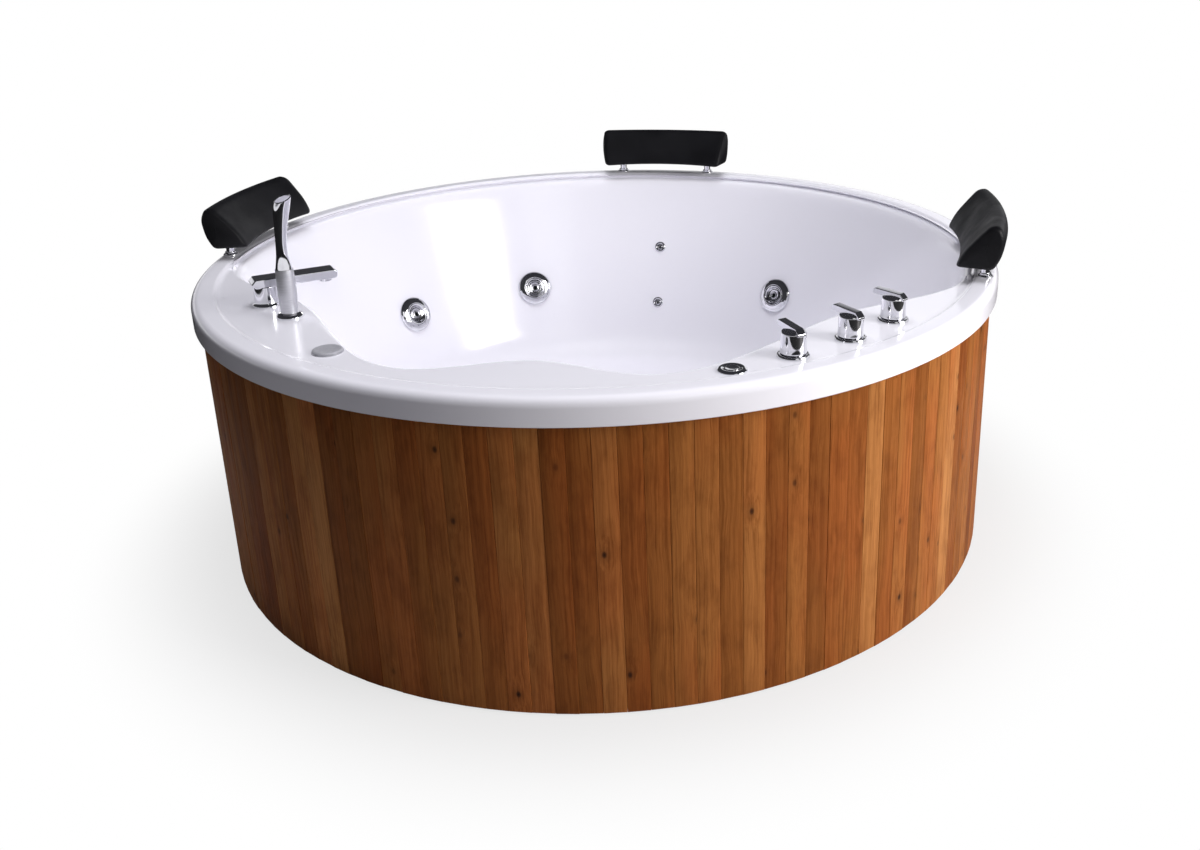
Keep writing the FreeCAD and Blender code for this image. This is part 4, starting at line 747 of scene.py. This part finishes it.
# Suction cover and waste: a domed chrome cover with ten radial slots over the pump's intake, and the
# floor waste, a pressed flange with a domed click plug that lifts.
GRILLE = [(0.0, 0.0023, 0), (0.036, 0.0023, 0), (0.036, 0.0045, 0.001), (0.0315, 0.0080, 0.002),
          (0.012, 0.0088, 0), (0.0, 0.009, 0)]
SLOT_COUNT = 10
SLOT_START = 0.008
SLOT_END = 0.019
SLOT_HALF = 0.002
SLOT_STEPS = 8
SLOT_DEPTHS = (-0.01, 0.02)
WASTE_FLANGE = [
    (0.018, -0.032, 0), (0.022, -0.032, 0), (0.022, -0.003, 0), (0.036, -0.003, 0), (0.036, -0.0006, 0.0005),
    (0.0335, 0.001, 0.001), (0.0250, 0.0010, 0.0008), (0.0233, -0.0015, 0.0004), (0.018, -0.0015, 0.0004)]
WASTE_PLUG = [
    (0, -0.040, 0), (0.006, -0.040, 0.0008), (0.006, -0.0012, 0), (0.0225, -0.0012, 0.0003),
    (0.023, 0.0, 0.0004), (0.0215, 0.0022, 0.001), (0.0115, 0.00342, 0.004), (0, 0.0038, 0)]


def round_slot(shape, turn, place):
    """Add one radial slot with round ends, as a cutter."""
    outline = []
    for middle, start in ((SLOT_END - SLOT_HALF, -90), (SLOT_START + SLOT_HALF, 90)):
        for i in range(SLOT_STEPS + 1):
            bend = math.radians(start + 180 * i / SLOT_STEPS)
            outline.append((middle + SLOT_HALF * math.cos(bend), SLOT_HALF * math.sin(bend)))
    spin = place @ Matrix.Rotation(turn, 4, "Z")
    lofted(shape, [[shape.verts.new(spin @ Vector((x, y, z))) for x, y in outline] for z in SLOT_DEPTHS])


place = on_wall(SUCTION_ANGLE, SUCTION_HEIGHT)
cover = bmesh.new()
turned(cover, GRILLE, place, 96)
slots = bmesh.new()
for i in range(SLOT_COUNT):
    round_slot(slots, 2 * math.pi * i / SLOT_COUNT, place)
cover_mesh = combined(loose("cover", solid("suction_cover", cover)), loose("slots", solid("slots", slots)),
                      "DIFFERENCE", "EXACT")
piece("suction_cover", cover_mesh, chrome, "tub", "chrome", "suction_grille")
place = Matrix.Translation((0, 0, FLOOR_HEIGHT))
turned_piece("waste_flange", WASTE_FLANGE, place, chrome, "tub", "chrome", "drain_flange", 96, True)
turned_piece("click_plug", WASTE_PLUG, place, chrome, "plug", "chrome", "drain_plug", 96)


# Levers: three valve handles, each a turned knob with a flat bar cast across its top that points at the
# basin. Polished and chrome plated; the knob rides on the valve's spindle.
KNOB = [(0, -0.020, 0), (0.006, -0.020, 0), (0.006, 0.0053, 0), (0.0205, 0.0053, 0), (0.022, 0.0075, 0.0012),
        (0.0212, 0.013, 0.004), (0.0203, 0.0405, 0.002), (0.0188, 0.042, 0.0008), (0, 0.042, 0)]
LEVER_BAR = [(-0.024, 0.038), (0.037, 0.043), (0.037, 0.050), (0.034, 0.053), (-0.016, 0.050),
             (-0.024, 0.042)]
LEVER_WIDE = 0.015
LEVER_EASE = 0.0012


def bar(outline, wide, ease, steps=3):
    """A flat bar padded from an upright outline, with eased edges."""
    shape = bmesh.new()
    lofted(shape, [[shape.verts.new((x, y, z)) for x, z in outline] for y in (-wide / 2, wide / 2)])
    bmesh.ops.bevel(shape, geom=shape.edges[:], offset=ease, segments=steps, profile=0.5, affect="EDGES",
                    clamp_overlap=True)
    return shape


def casting(name, stem, around, arm, place):
    """A turned stem and a bar made one, smooth over their eased edges, and set in place."""
    shape = bmesh.new()
    turned(shape, stem, Matrix(), around)
    mesh = combined(loose("stem", solid(name, shape)), loose("arm", solid(name, arm)), "UNION", "MANIFOLD")
    body = loose(name, mesh)
    body.modifiers.new("flats", "WEIGHTED_NORMAL").keep_sharp = True
    mesh = settled(body)
    mesh.transform(place)
    return mesh


for label, valve_spot in VALVES.items():
    mesh = casting("handle", KNOB, 64, bar(LEVER_BAR, LEVER_WIDE, LEVER_EASE), on_deck(*valve_spot))
    piece("handle_" + label, mesh, chrome, "lever_" + label, "chrome", "lever_" + label)


# Spout: a turned brass stem with a flat bar on it that reaches over the basin, chrome plated, and the
# aerator screwed in under the bar's end.
SPOUT_STEM = [(0, -0.070, 0), (0.012, -0.070, 0), (0.012, 0.0, 0), (0.026, 0.0, 0), (0.026, 0.0026, 0.001),
              (0.0238, 0.005, 0.001), (0.0222, 0.007, 0.002), (0.021, 0.038, 0.001), (0, 0.038, 0)]
SPOUT_BAR = [(-0.026, 0.0445), (-0.018, 0.036), (0.124, 0.036), (0.128, 0.040), (0.128, 0.049),
             (0.124, 0.053), (-0.018, 0.053)]
SPOUT_WIDE = 0.038
SPOUT_EASE = 0.0022
SPOUT_REACH = 0.108
AERATOR = [(0.008, 0.030, 0.0006), (0.012, 0.030, 0.001), (0.012, 0.036, 0), (0, 0.036, 0), (0, 0.033, 0),
           (0.008, 0.033, 0)]
mesh = casting("spout_casting", SPOUT_STEM, 72, bar(SPOUT_BAR, SPOUT_WIDE, SPOUT_EASE), on_deck(*SPOUT_SPOT))
piece("spout_casting", mesh, chrome, "tub", "chrome", "spout")
place = on_deck(SPOUT_SPOT[0] - SPOUT_REACH, SPOUT_SPOT[1])
turned_piece("aerator_ring", AERATOR, place, chrome, "tub", "chrome", "aerator", 48, True)


# Hand shower: a satin sleeve on a bright foot, and the wand that stands in it, cast with an S curve and
# cut off at a slant, where the pale spray face sits.
SLEEVE_TOP = 0.088
FOOT_TOP = 0.0085
SLEEVE = [(0, -0.060, 0), (0.014, -0.060, 0), (0.014, 0.0, 0), (0.024, 0.0, 0), (0.024, 0.003, 0.0012),
          (0.0205, 0.0068, 0.0015), (0.0150, 0.0085, 0.0008), (0.0148, 0.012, 0.002), (0.0160, 0.030, 0.008),
          (0.0166, 0.050, 0.009), (0.0161, 0.072, 0.008), (0.0155, SLEEVE_TOP, 0.0006),
          (0.0111, SLEEVE_TOP, 0), (0.0111, 0.0297, 0), (0, 0.0297, 0)]
# Stops up the grip: lean and rise of the middle, half width, half depth and tilt in degrees.
WAND = [(0.0, 0.0003, 0.0145, 0.0145, 0), (0.0, 0.028, 0.0105, 0.0100, 0), (0.002, 0.060, 0.0110, 0.0100, 4),
        (0.007, 0.096, 0.0140, 0.0130, 6), (0.013, 0.122, 0.0180, 0.0150, -20)]
WAND_STEM = 0.0108
WAND_FOOT = 0.030
WAND_STEPS = 10
WAND_AROUND = 64
# Rings of the spray face: share of the last stop, lift above it and whether it is pale.
SPRAY_RINGS = [(0.97, 0.0006, 0), (0.90, 0.0010, 0), (0.86, 0.0006, 0), (0.84, -0.0002, 1), (0.55, 0.0004, 1),
               (0.25, 0.0007, 1)]


def curve_through(stops, step):
    """A smooth curve through a list of stops, read at a step along it."""
    i = min(int(step), len(stops) - 2)
    t = step - i
    a, b = np.array(stops[max(i - 1, 0)]), np.array(stops[i])
    c, d = np.array(stops[i + 1]), np.array(stops[min(i + 2, len(stops) - 1)])
    return b + t / 2 * (c - a + t * (2 * a - 5 * b + 4 * c - d + t * (3 * (b - c) + d - a)))


def wand_shape(place):
    """The wand: its stem in the sleeve, the curved grip and the slanted spray face."""
    shape = bmesh.new()
    pale = shape.verts.layers.float.new("pale")
    bends = [2 * math.pi * i / WAND_AROUND for i in range(WAND_AROUND)]

    def oval(lean, rise, wide, deep, tilt, share=1.0, lift=0.0):
        slant = math.radians(tilt)
        middle = Vector((lean + lift * math.sin(slant), 0, SLEEVE_TOP + rise + lift * math.cos(slant)))
        ring = [Vector((deep * math.cos(b) * math.cos(slant), wide * math.sin(b),
                        -deep * math.cos(b) * math.sin(slant))) for b in bends]
        return [shape.verts.new(place @ (middle + share * point)) for point in ring]

    rings = [oval(0, rise, WAND_STEM, WAND_STEM, 0) for rise in (WAND_FOOT - SLEEVE_TOP, WAND[0][1])]
    count = WAND_STEPS * (len(WAND) - 1)
    rings += [oval(*curve_through(WAND, i / WAND_STEPS)) for i in range(count + 1)]
    for share, lift, shown in SPRAY_RINGS:
        rings.append(oval(*WAND[-1], share, lift))
        for vert in rings[-1]:
            vert[pale] = shown
    return lofted(shape, rings)


satin, tree, surface = new_finish("satin_chrome")
polish = carried(tree, "polish")
brushed = streaks(tree, object_spot(tree), (60.0, 60.0, 1400.0), 2.0)
satin_tone = graph(tree, ((0.3, (0.60, 0.60, 0.63)), (0.7, (0.74, 0.74, 0.77))), brushed)
satin_rough = ranged(tree, brushed, 0.3, 0.7, 0.38, 0.52)
dress(surface, Base_Color=mixed(tree, polish, satin_tone, (0.82, 0.82, 0.85, 1)), Metallic=1.0,
      Roughness=ranged(tree, polish, 0.0, 1.0, satin_rough, 0.05), Normal=bumped(tree, brushed, 0.04, 0.0003))
wand_chrome, tree, surface = new_finish("wand_chrome")
pale = carried(tree, "pale")
cloud = noise(tree, object_spot(tree), 60.0, 2.0)
bright = graph(tree, ((0.35, (0.77, 0.77, 0.80)), (0.65, (0.83, 0.83, 0.86))), cloud)
dress(surface, Base_Color=mixed(tree, pale, bright, (0.62, 0.61, 0.70, 1)),
      Metallic=sums(tree, "SUBTRACT", 1.0, pale),
      Roughness=ranged(tree, pale, 0.0, 1.0, handled(tree, 35.0, 0.03, 0.09), 0.35))

sleeve = bmesh.new()
turned(sleeve, SLEEVE, Matrix(), 72)
polish = sleeve.verts.layers.float.new("polish")
for vert in sleeve.verts:
    vert[polish] = 1.0 if vert.co.z < FOOT_TOP else 0.0
bmesh.ops.transform(sleeve, matrix=on_deck(*SHOWER_SPOT), verts=sleeve.verts)
piece("shower_sleeve", solid("shower_sleeve", sleeve), satin, "tub", "satin_chrome", "shower_holder")
wand = solid("shower_grip", wand_shape(on_deck(*SHOWER_SPOT)))
piece("shower_grip", wand, wand_chrome, "wand", "chrome", "shower_wand")


# Button and air dial: a push button in a chrome bezel that starts the pump, and a low frosted disc that
# turns on its plate to let air into the jets. Turned brass, plated.
BUTTON_RING = [
    (0.0133, -0.028, 0), (0.0155, -0.028, 0), (0.0155, 0.0, 0), (0.024, 0.0, 0), (0.024, 0.0018, 0.001),
    (0.0205, 0.005, 0.0018), (0.0165, 0.0048, 0.001), (0.0142, 0.0030, 0.0008), (0.0133, 0.0020, 0)]
BUTTON_FACE = [
    (0, -0.024, 0), (0.013, -0.024, 0), (0.013, 0.003, 0.001), (0.0118, 0.0044, 0.0008),
    (0.0095, 0.0040, 0.001), (0.006, 0.0029, 0.002), (0, 0.0026, 0)]
DIAL_PLATE = [
    (0, -0.050, 0), (0.011, -0.050, 0), (0.011, 0.0, 0), (0.026, 0.0, 0), (0.026, 0.0013, 0.0007),
    (0.0253, 0.0015, 0), (0.0063, 0.0015, 0), (0.0063, -0.0203, 0), (0, -0.0203, 0)]
DIAL_DISC = [
    (0, -0.020, 0), (0.006, -0.020, 0), (0.006, 0.0018, 0), (0.025, 0.0018, 0.0003), (0.025, 0.0036, 0.001),
    (0.0222, 0.0055, 0.0014), (0.0190, 0.0054, 0.001), (0.0125, 0.0043, 0.004), (0, 0.004, 0)]
frosted, tree, surface = new_finish("dial_frosted")
cloud = noise(tree, object_spot(tree), 180.0, 3.0)
dress(surface, Base_Color=graph(tree, ((0.3, (0.42, 0.42, 0.46)), (0.7, (0.50, 0.50, 0.54))), cloud),
      Roughness=handled(tree, 40.0, 0.34, 0.48), Metallic=0.25)
place = on_deck(*BUTTON_SPOT)
turned_piece("button_ring", BUTTON_RING, place, chrome, "tub", "chrome", "button_bezel", closed=True)
turned_piece("button_face", BUTTON_FACE, place, chrome, "button", "chrome", "button_cap", 64)
place = on_deck(*DIAL_SPOT)
turned_piece("dial_plate", DIAL_PLATE, place, frosted, "tub", "satin_chrome", "dial_base")
turned_piece("dial_disc", DIAL_DISC, place, frosted, "dial", "satin_chrome", "air_dial")


# Head pillows: black integral-skin polyurethane foam, moulded in one piece and bent to the rim. Each is
# pushed on two chrome posts that stand in the sockets.
PAD_SECTION = [(-0.054, 0.002, 0.010), (-0.040, 0.032, 0.016), (-0.018, 0.058, 0.018), (0.008, 0.086, 0.012),
               (0.026, 0.084, 0.008), (0.036, 0.064, 0.012), (0.030, 0.024, 0.016), (0.016, 0.0, 0.008)]
PAD_LOW = RIM_TOP + 0.022
PAD_HALF = math.radians(12)
PAD_STEPS = 48
PAD_ROUND = 0.014
PAD_CROWN = 0.004
PAD_ARCH = 0.004
ARCH_TOP = 0.03
CAP_STEPS = 7
FACE_SHARES = (0.75, 0.5, 0.25)
PAD_CREASE = 60
POST = [(0, -0.028, 0), (0.008, -0.028, 0.0006), (0.008, 0.0031, 0), (0.011, 0.0031, 0.0006),
        (0.011, 0.0071, 0.0008), (0.008, 0.0071, 0.0004), (0.008, 0.052, 0.0008), (0, 0.052, 0)]

foam, tree, surface = new_finish("pillow_black")
spot = object_spot(tree)
cloud = noise(tree, spot, 14.0, 3.0)
grain = put(tree, "ShaderNodeTexVoronoi", Vector=spot, Scale=620.0).outputs["Distance"]
dress(surface, Base_Color=graph(tree, ((0.3, (0.004, 0.004, 0.005)), (0.7, (0.0075, 0.0075, 0.009))), cloud),
      Roughness=handled(tree, 18.0, 0.42, 0.58), Normal=bumped(tree, grain, 0.10, 0.0006),
      Specular_IOR_Level=0.2)


def pillow_shape(axis):
    """A pad swept along the rim: an arched foot, rounded ends and a slightly crowned end face."""
    outline = eased(PAD_SECTION, True, 6)
    middle = sum(outline, Vector((0, 0))) / len(outline)
    shrink = PAD_ROUND / max((point - middle).length for point in outline)
    bend_room = PAD_ROUND / POST_RING
    shape = bmesh.new()

    def slice_at(turn, share):
        arch = PAD_ARCH * max(0.0, 1 - (turn / PAD_HALF) ** 2)
        spin = math.radians(axis) + turn
        ring = []
        for point in outline:
            out, up = middle + (point - middle) * share
            lift = arch * max(0.0, 1 - up / ARCH_TOP)
            ring.append(shape.verts.new(stood_at(POST_RING + out, spin, PAD_LOW + up + lift).translation))
        return ring

    end = []
    for bend in (math.pi / 2 * i / CAP_STEPS for i in range(CAP_STEPS + 1)):
        end.append((PAD_HALF - bend_room * (1 - math.sin(bend)), 1 - shrink * (1 - math.cos(bend))))
    for share in FACE_SHARES:
        end.append((PAD_HALF + PAD_CROWN * (1 - share ** 2) / POST_RING, share * (1 - shrink)))
    rings = [slice_at(-turn, share) for turn, share in reversed(end)]
    inner = PAD_HALF - bend_room
    rings += [slice_at(inner * side, 1.0) for side in np.linspace(-1, 1, PAD_STEPS)[1:-1]]
    rings += [slice_at(turn, share) for turn, share in end]
    return lofted(shape, rings)


for seat, axis in SEATS.items():
    pad = piece("head_pad_" + seat, solid("head_pad", pillow_shape(axis), PAD_CREASE), foam, "pillow_" + seat,
                "pillow_black", "pillow_" + seat)
    set_out("pad_posts_" + seat, POST, post_places(axis), "pillow_" + seat, "pillow_posts_" + seat, 48, False)


# Hidden construction: what stands behind the skirt and under the shell keeps its CAD shape. It is plywood,
# galvanised steel, rubber, plastic pipe, moulded plastic, painted castings and brass.
def worn(name, low, high, scale, rough, metallic=0.0, grain=0.1, stretch=(1.0, 1.0, 1.0)):
    """A plain finish with drifting tone and gloss and a fine grain."""
    made, tree, surface = new_finish(name)
    drawn = vector_sums(tree, "MULTIPLY", object_spot(tree), stretch)
    cloud = noise(tree, drawn, scale, 5.0, 0.6)
    fine = noise(tree, drawn, 12 * scale, 2.0)
    dress(surface, Base_Color=graph(tree, ((0.3, low), (0.7, high)), cloud), Metallic=metallic,
          Roughness=ranged(tree, cloud, 0.3, 0.7, rough + 0.08, rough - 0.08),
          Normal=bumped(tree, fine, grain, 0.001))
    return made


def shaded(made, shade):
    """A finish whose colour is darkened by a shade."""
    tree = made.node_tree
    surface = tree.nodes["Principled BSDF"]
    face = surface.inputs["Base Color"].links[0].from_socket
    dress(surface, Base_Color=mixed(tree, 1.0, face, shade, "MULTIPLY"))
    return made


def veneered():
    """Plywood: light and dark plies on the edges over a streaked face."""
    made = worn("plywood", (0.40, 0.25, 0.12), (0.62, 0.43, 0.24), 14.0, 0.7, 0.0, 0.15, (1, 1, 6))
    tree = made.node_tree
    flat = vector_sums(tree, "MULTIPLY", object_spot(tree), (1.0, 1.0, 0.0))
    out = put(tree, "ShaderNodeVectorMath", {"operation": "LENGTH"}, i0=flat).outputs["Value"]
    plies = sums(tree, "PINGPONG", out, 0.0016)
    return shaded(made, ranged(tree, plies, 0.0006, 0.0010, 0.72, 1.0))


def spangled():
    """Hot-dip galvanised steel with its zinc crystals."""
    made = worn("frame_steel", (0.42, 0.43, 0.45), (0.60, 0.61, 0.63), 30.0, 0.42, 0.9)
    tree = made.node_tree
    cells = put(tree, "ShaderNodeTexVoronoi", Vector=object_spot(tree), Scale=110.0).outputs["Color"]
    flake = put(tree, "ShaderNodeSeparateColor", Color=cells).outputs[0]
    return shaded(made, ranged(tree, flake, 0.0, 1.0, 0.72, 1.0))


HIDDEN = {
    veneered(): ("skirt_hoops", "rim_board", "base_board"),
    spangled(): ("frame",),
    worn("foot_rubber", (0.012, 0.012, 0.012), (0.03, 0.03, 0.03), 40.0, 0.75): ("feet",),
    worn("white_plastic", (0.72, 0.72, 0.70), (0.82, 0.82, 0.81), 9.0, 0.38, 0.0, 0.03): (
        "waste_trap", "jet_bodies", "jet_nuts", "small_jet_nuts", "suction_body", "suction_nut",
        "suction_pipe", "water_manifold", "air_pipe"),
    worn("pump_plastic", (0.018, 0.018, 0.02), (0.035, 0.035, 0.038), 25.0, 0.5): (
        "pump_housing", "motor_fan_cover", "pump_cradle"),
    worn("motor_paint", (0.06, 0.065, 0.07), (0.10, 0.105, 0.115), 18.0, 0.45, 0.0, 0.12): ("pump_motor",),
    worn("brass", (0.56, 0.38, 0.13), (0.74, 0.54, 0.22), 35.0, 0.34, 1.0): ("valve_manifold", "deck_nuts"),
    worn("steel_pipe", (0.50, 0.50, 0.52), (0.64, 0.64, 0.66), 20.0, 0.28, 1.0, 0.05): ("spout_feed",),
}
for finish, names in HIDDEN.items():
    for name in names:
        nodes[name].material_slots[0].material = finish


# Floor, light and camera: white paper that keeps the tub's shadow, a large soft lamp high on the right, a low
# one for the skirt, a faint window lamp and one overhead, and the view of the photograph. Polished metal
# mirrors a bright band near the horizon under a dark room.
FLOOR_HALF = 40.0
FLOOR_LEVEL = -0.0005
VIEW_SPOT = (0.4351, -2.3477, 1.2263)
VIEW_RIGHT = (0.9938, 0.1093, -0.0188)
VIEW_UP = (-0.0200, 0.3433, 0.9390)
VIEW_BACK = (0.1091, -0.9328, 0.3434)
VIEW_LENS = 35.61
VIEW_SENSOR = 36
VIEW_SHIFT = (-0.0667, -0.0708)
WHITE = (1, 1, 1, 1)

floor_mesh = bpy.data.meshes.new("floor")
floor_mesh.from_pydata([(x * FLOOR_HALF, y * FLOOR_HALF, FLOOR_LEVEL)
                        for x, y in ((-1, -1), (1, -1), (1, 1), (-1, 1))], [], [(0, 1, 2, 3)])
floor = loose("floor", floor_mesh)
paper_white, tree, surface = new_finish("pale_floor")
reach = put(tree, "ShaderNodeVectorMath", {"operation": "LENGTH"}, i0=object_spot(tree)).outputs["Value"]
paper = ranged(tree, reach, 1.25, 1.75, 0.66, 0.03, "SMOOTHSTEP")
dress(surface, Base_Color=paper, Roughness=0.9, Specular_IOR_Level=0.1)
fade = ranged(tree, reach, 0.78, 1.12, 0.72, 1.0, "SMOOTHSTEP")
shown = sums(tree, "MULTIPLY", fade, put(tree, "ShaderNodeLightPath").outputs["Is Camera Ray"])
white = put(tree, "ShaderNodeEmission", Color=WHITE, Strength=1.0).outputs[0]
both = put(tree, "ShaderNodeMixShader", i0=shown, i1=surface.outputs[0], i2=white).outputs[0]
dress(tree.nodes["Material Output"], Surface=both)
floor_mesh.materials.append(paper_white)


def lamp(name, spot, target, width, height, power, colour, mirrored=True):
    """A soft lamp aimed at a target; one that isn't mirrored doesn't show in polished metal."""
    made = bpy.data.objects.new(name, bpy.data.lights.new(name, "AREA"))
    made.data.shape = "RECTANGLE"
    made.data.size = width
    made.data.size_y = height
    made.data.energy = power
    made.data.color = colour
    made.visible_glossy = mirrored
    made.location = spot
    made.rotation_euler = (Vector(target) - Vector(spot)).to_track_quat("-Z", "Y").to_euler()
    bpy.context.scene.collection.objects.link(made)


lamp("key", (3.1, -1.15, 1.85), (0.1, 0.0, 0.4), 1.5, 1.5, 66, (1.0, 0.985, 0.97))
lamp("window", (1.9, -2.9, 2.9), (-0.2, 0.5, 0.35), 1.2, 1.5, 6, (1.0, 1.0, 1.0))
lamp("side", (2.6, -1.25, 0.40), (0.6, -0.45, 0.28), 0.9, 0.5, 34, (1.0, 0.97, 0.94), False)
lamp("overhead", (-0.1, -0.1, 3.3), (0.05, 0.0, 0.3), 1.8, 1.8, 55, (0.98, 0.98, 1.0), False)

world = bpy.data.worlds.new("studio")
world.use_nodes = True
tree = world.node_tree
ray = put(tree, "ShaderNodeTexCoord").outputs["Generated"]
across, ahead, height = put(tree, "ShaderNodeSeparateXYZ", Vector=ray).outputs
side = ranged(tree, across, -0.8, 0.8, 0.25, 1.3)
dome = graph(tree, ((0.0, (0.07, 0.066, 0.07)), (0.3, (0.13, 0.125, 0.14)), (1.0, (0.48, 0.48, 0.51))),
             height)
room = put(tree, "ShaderNodeVectorMath", {"operation": "SCALE"}, i0=dome, Scale=side).outputs[0]
right_lift = ranged(tree, across, 0.3, 0.9, 0.0, 0.22)
back_lift = sums(tree, "MULTIPLY", ranged(tree, across, -0.25, 0.05, 0.0, 0.22),
                 ranged(tree, ahead, 0.2, 0.6, 0.0, 1.0))
above = sums(tree, "SUBTRACT", height, sums(tree, "MAXIMUM", right_lift, back_lift))
mirrored = graph(tree, ((0.0, (0.90, 0.90, 0.92)), (0.10, (0.80, 0.80, 0.83)), (0.18, (0.05, 0.05, 0.055)),
                        (1.0, (0.03, 0.03, 0.035))), above)
light_path = put(tree, "ShaderNodeLightPath").outputs
unseen = mixed(tree, light_path["Is Glossy Ray"], room, mirrored)
dress(tree.nodes["Background"], Color=mixed(tree, light_path["Is Camera Ray"], unseen, WHITE), Strength=1.0)
bpy.context.scene.world = world

camera = bpy.data.objects.new("camera", bpy.data.cameras.new("camera"))
view = Matrix((VIEW_RIGHT, VIEW_UP, VIEW_BACK)).transposed().to_4x4()
view.translation = VIEW_SPOT
camera.matrix_world = view
camera.data.lens = VIEW_LENS
camera.data.sensor_width = VIEW_SENSOR
camera.data.shift_x, camera.data.shift_y = VIEW_SHIFT
bpy.context.scene.collection.objects.link(camera)
bpy.context.scene.camera = camera
bpy.context.scene.view_settings.view_transform = "Standard"
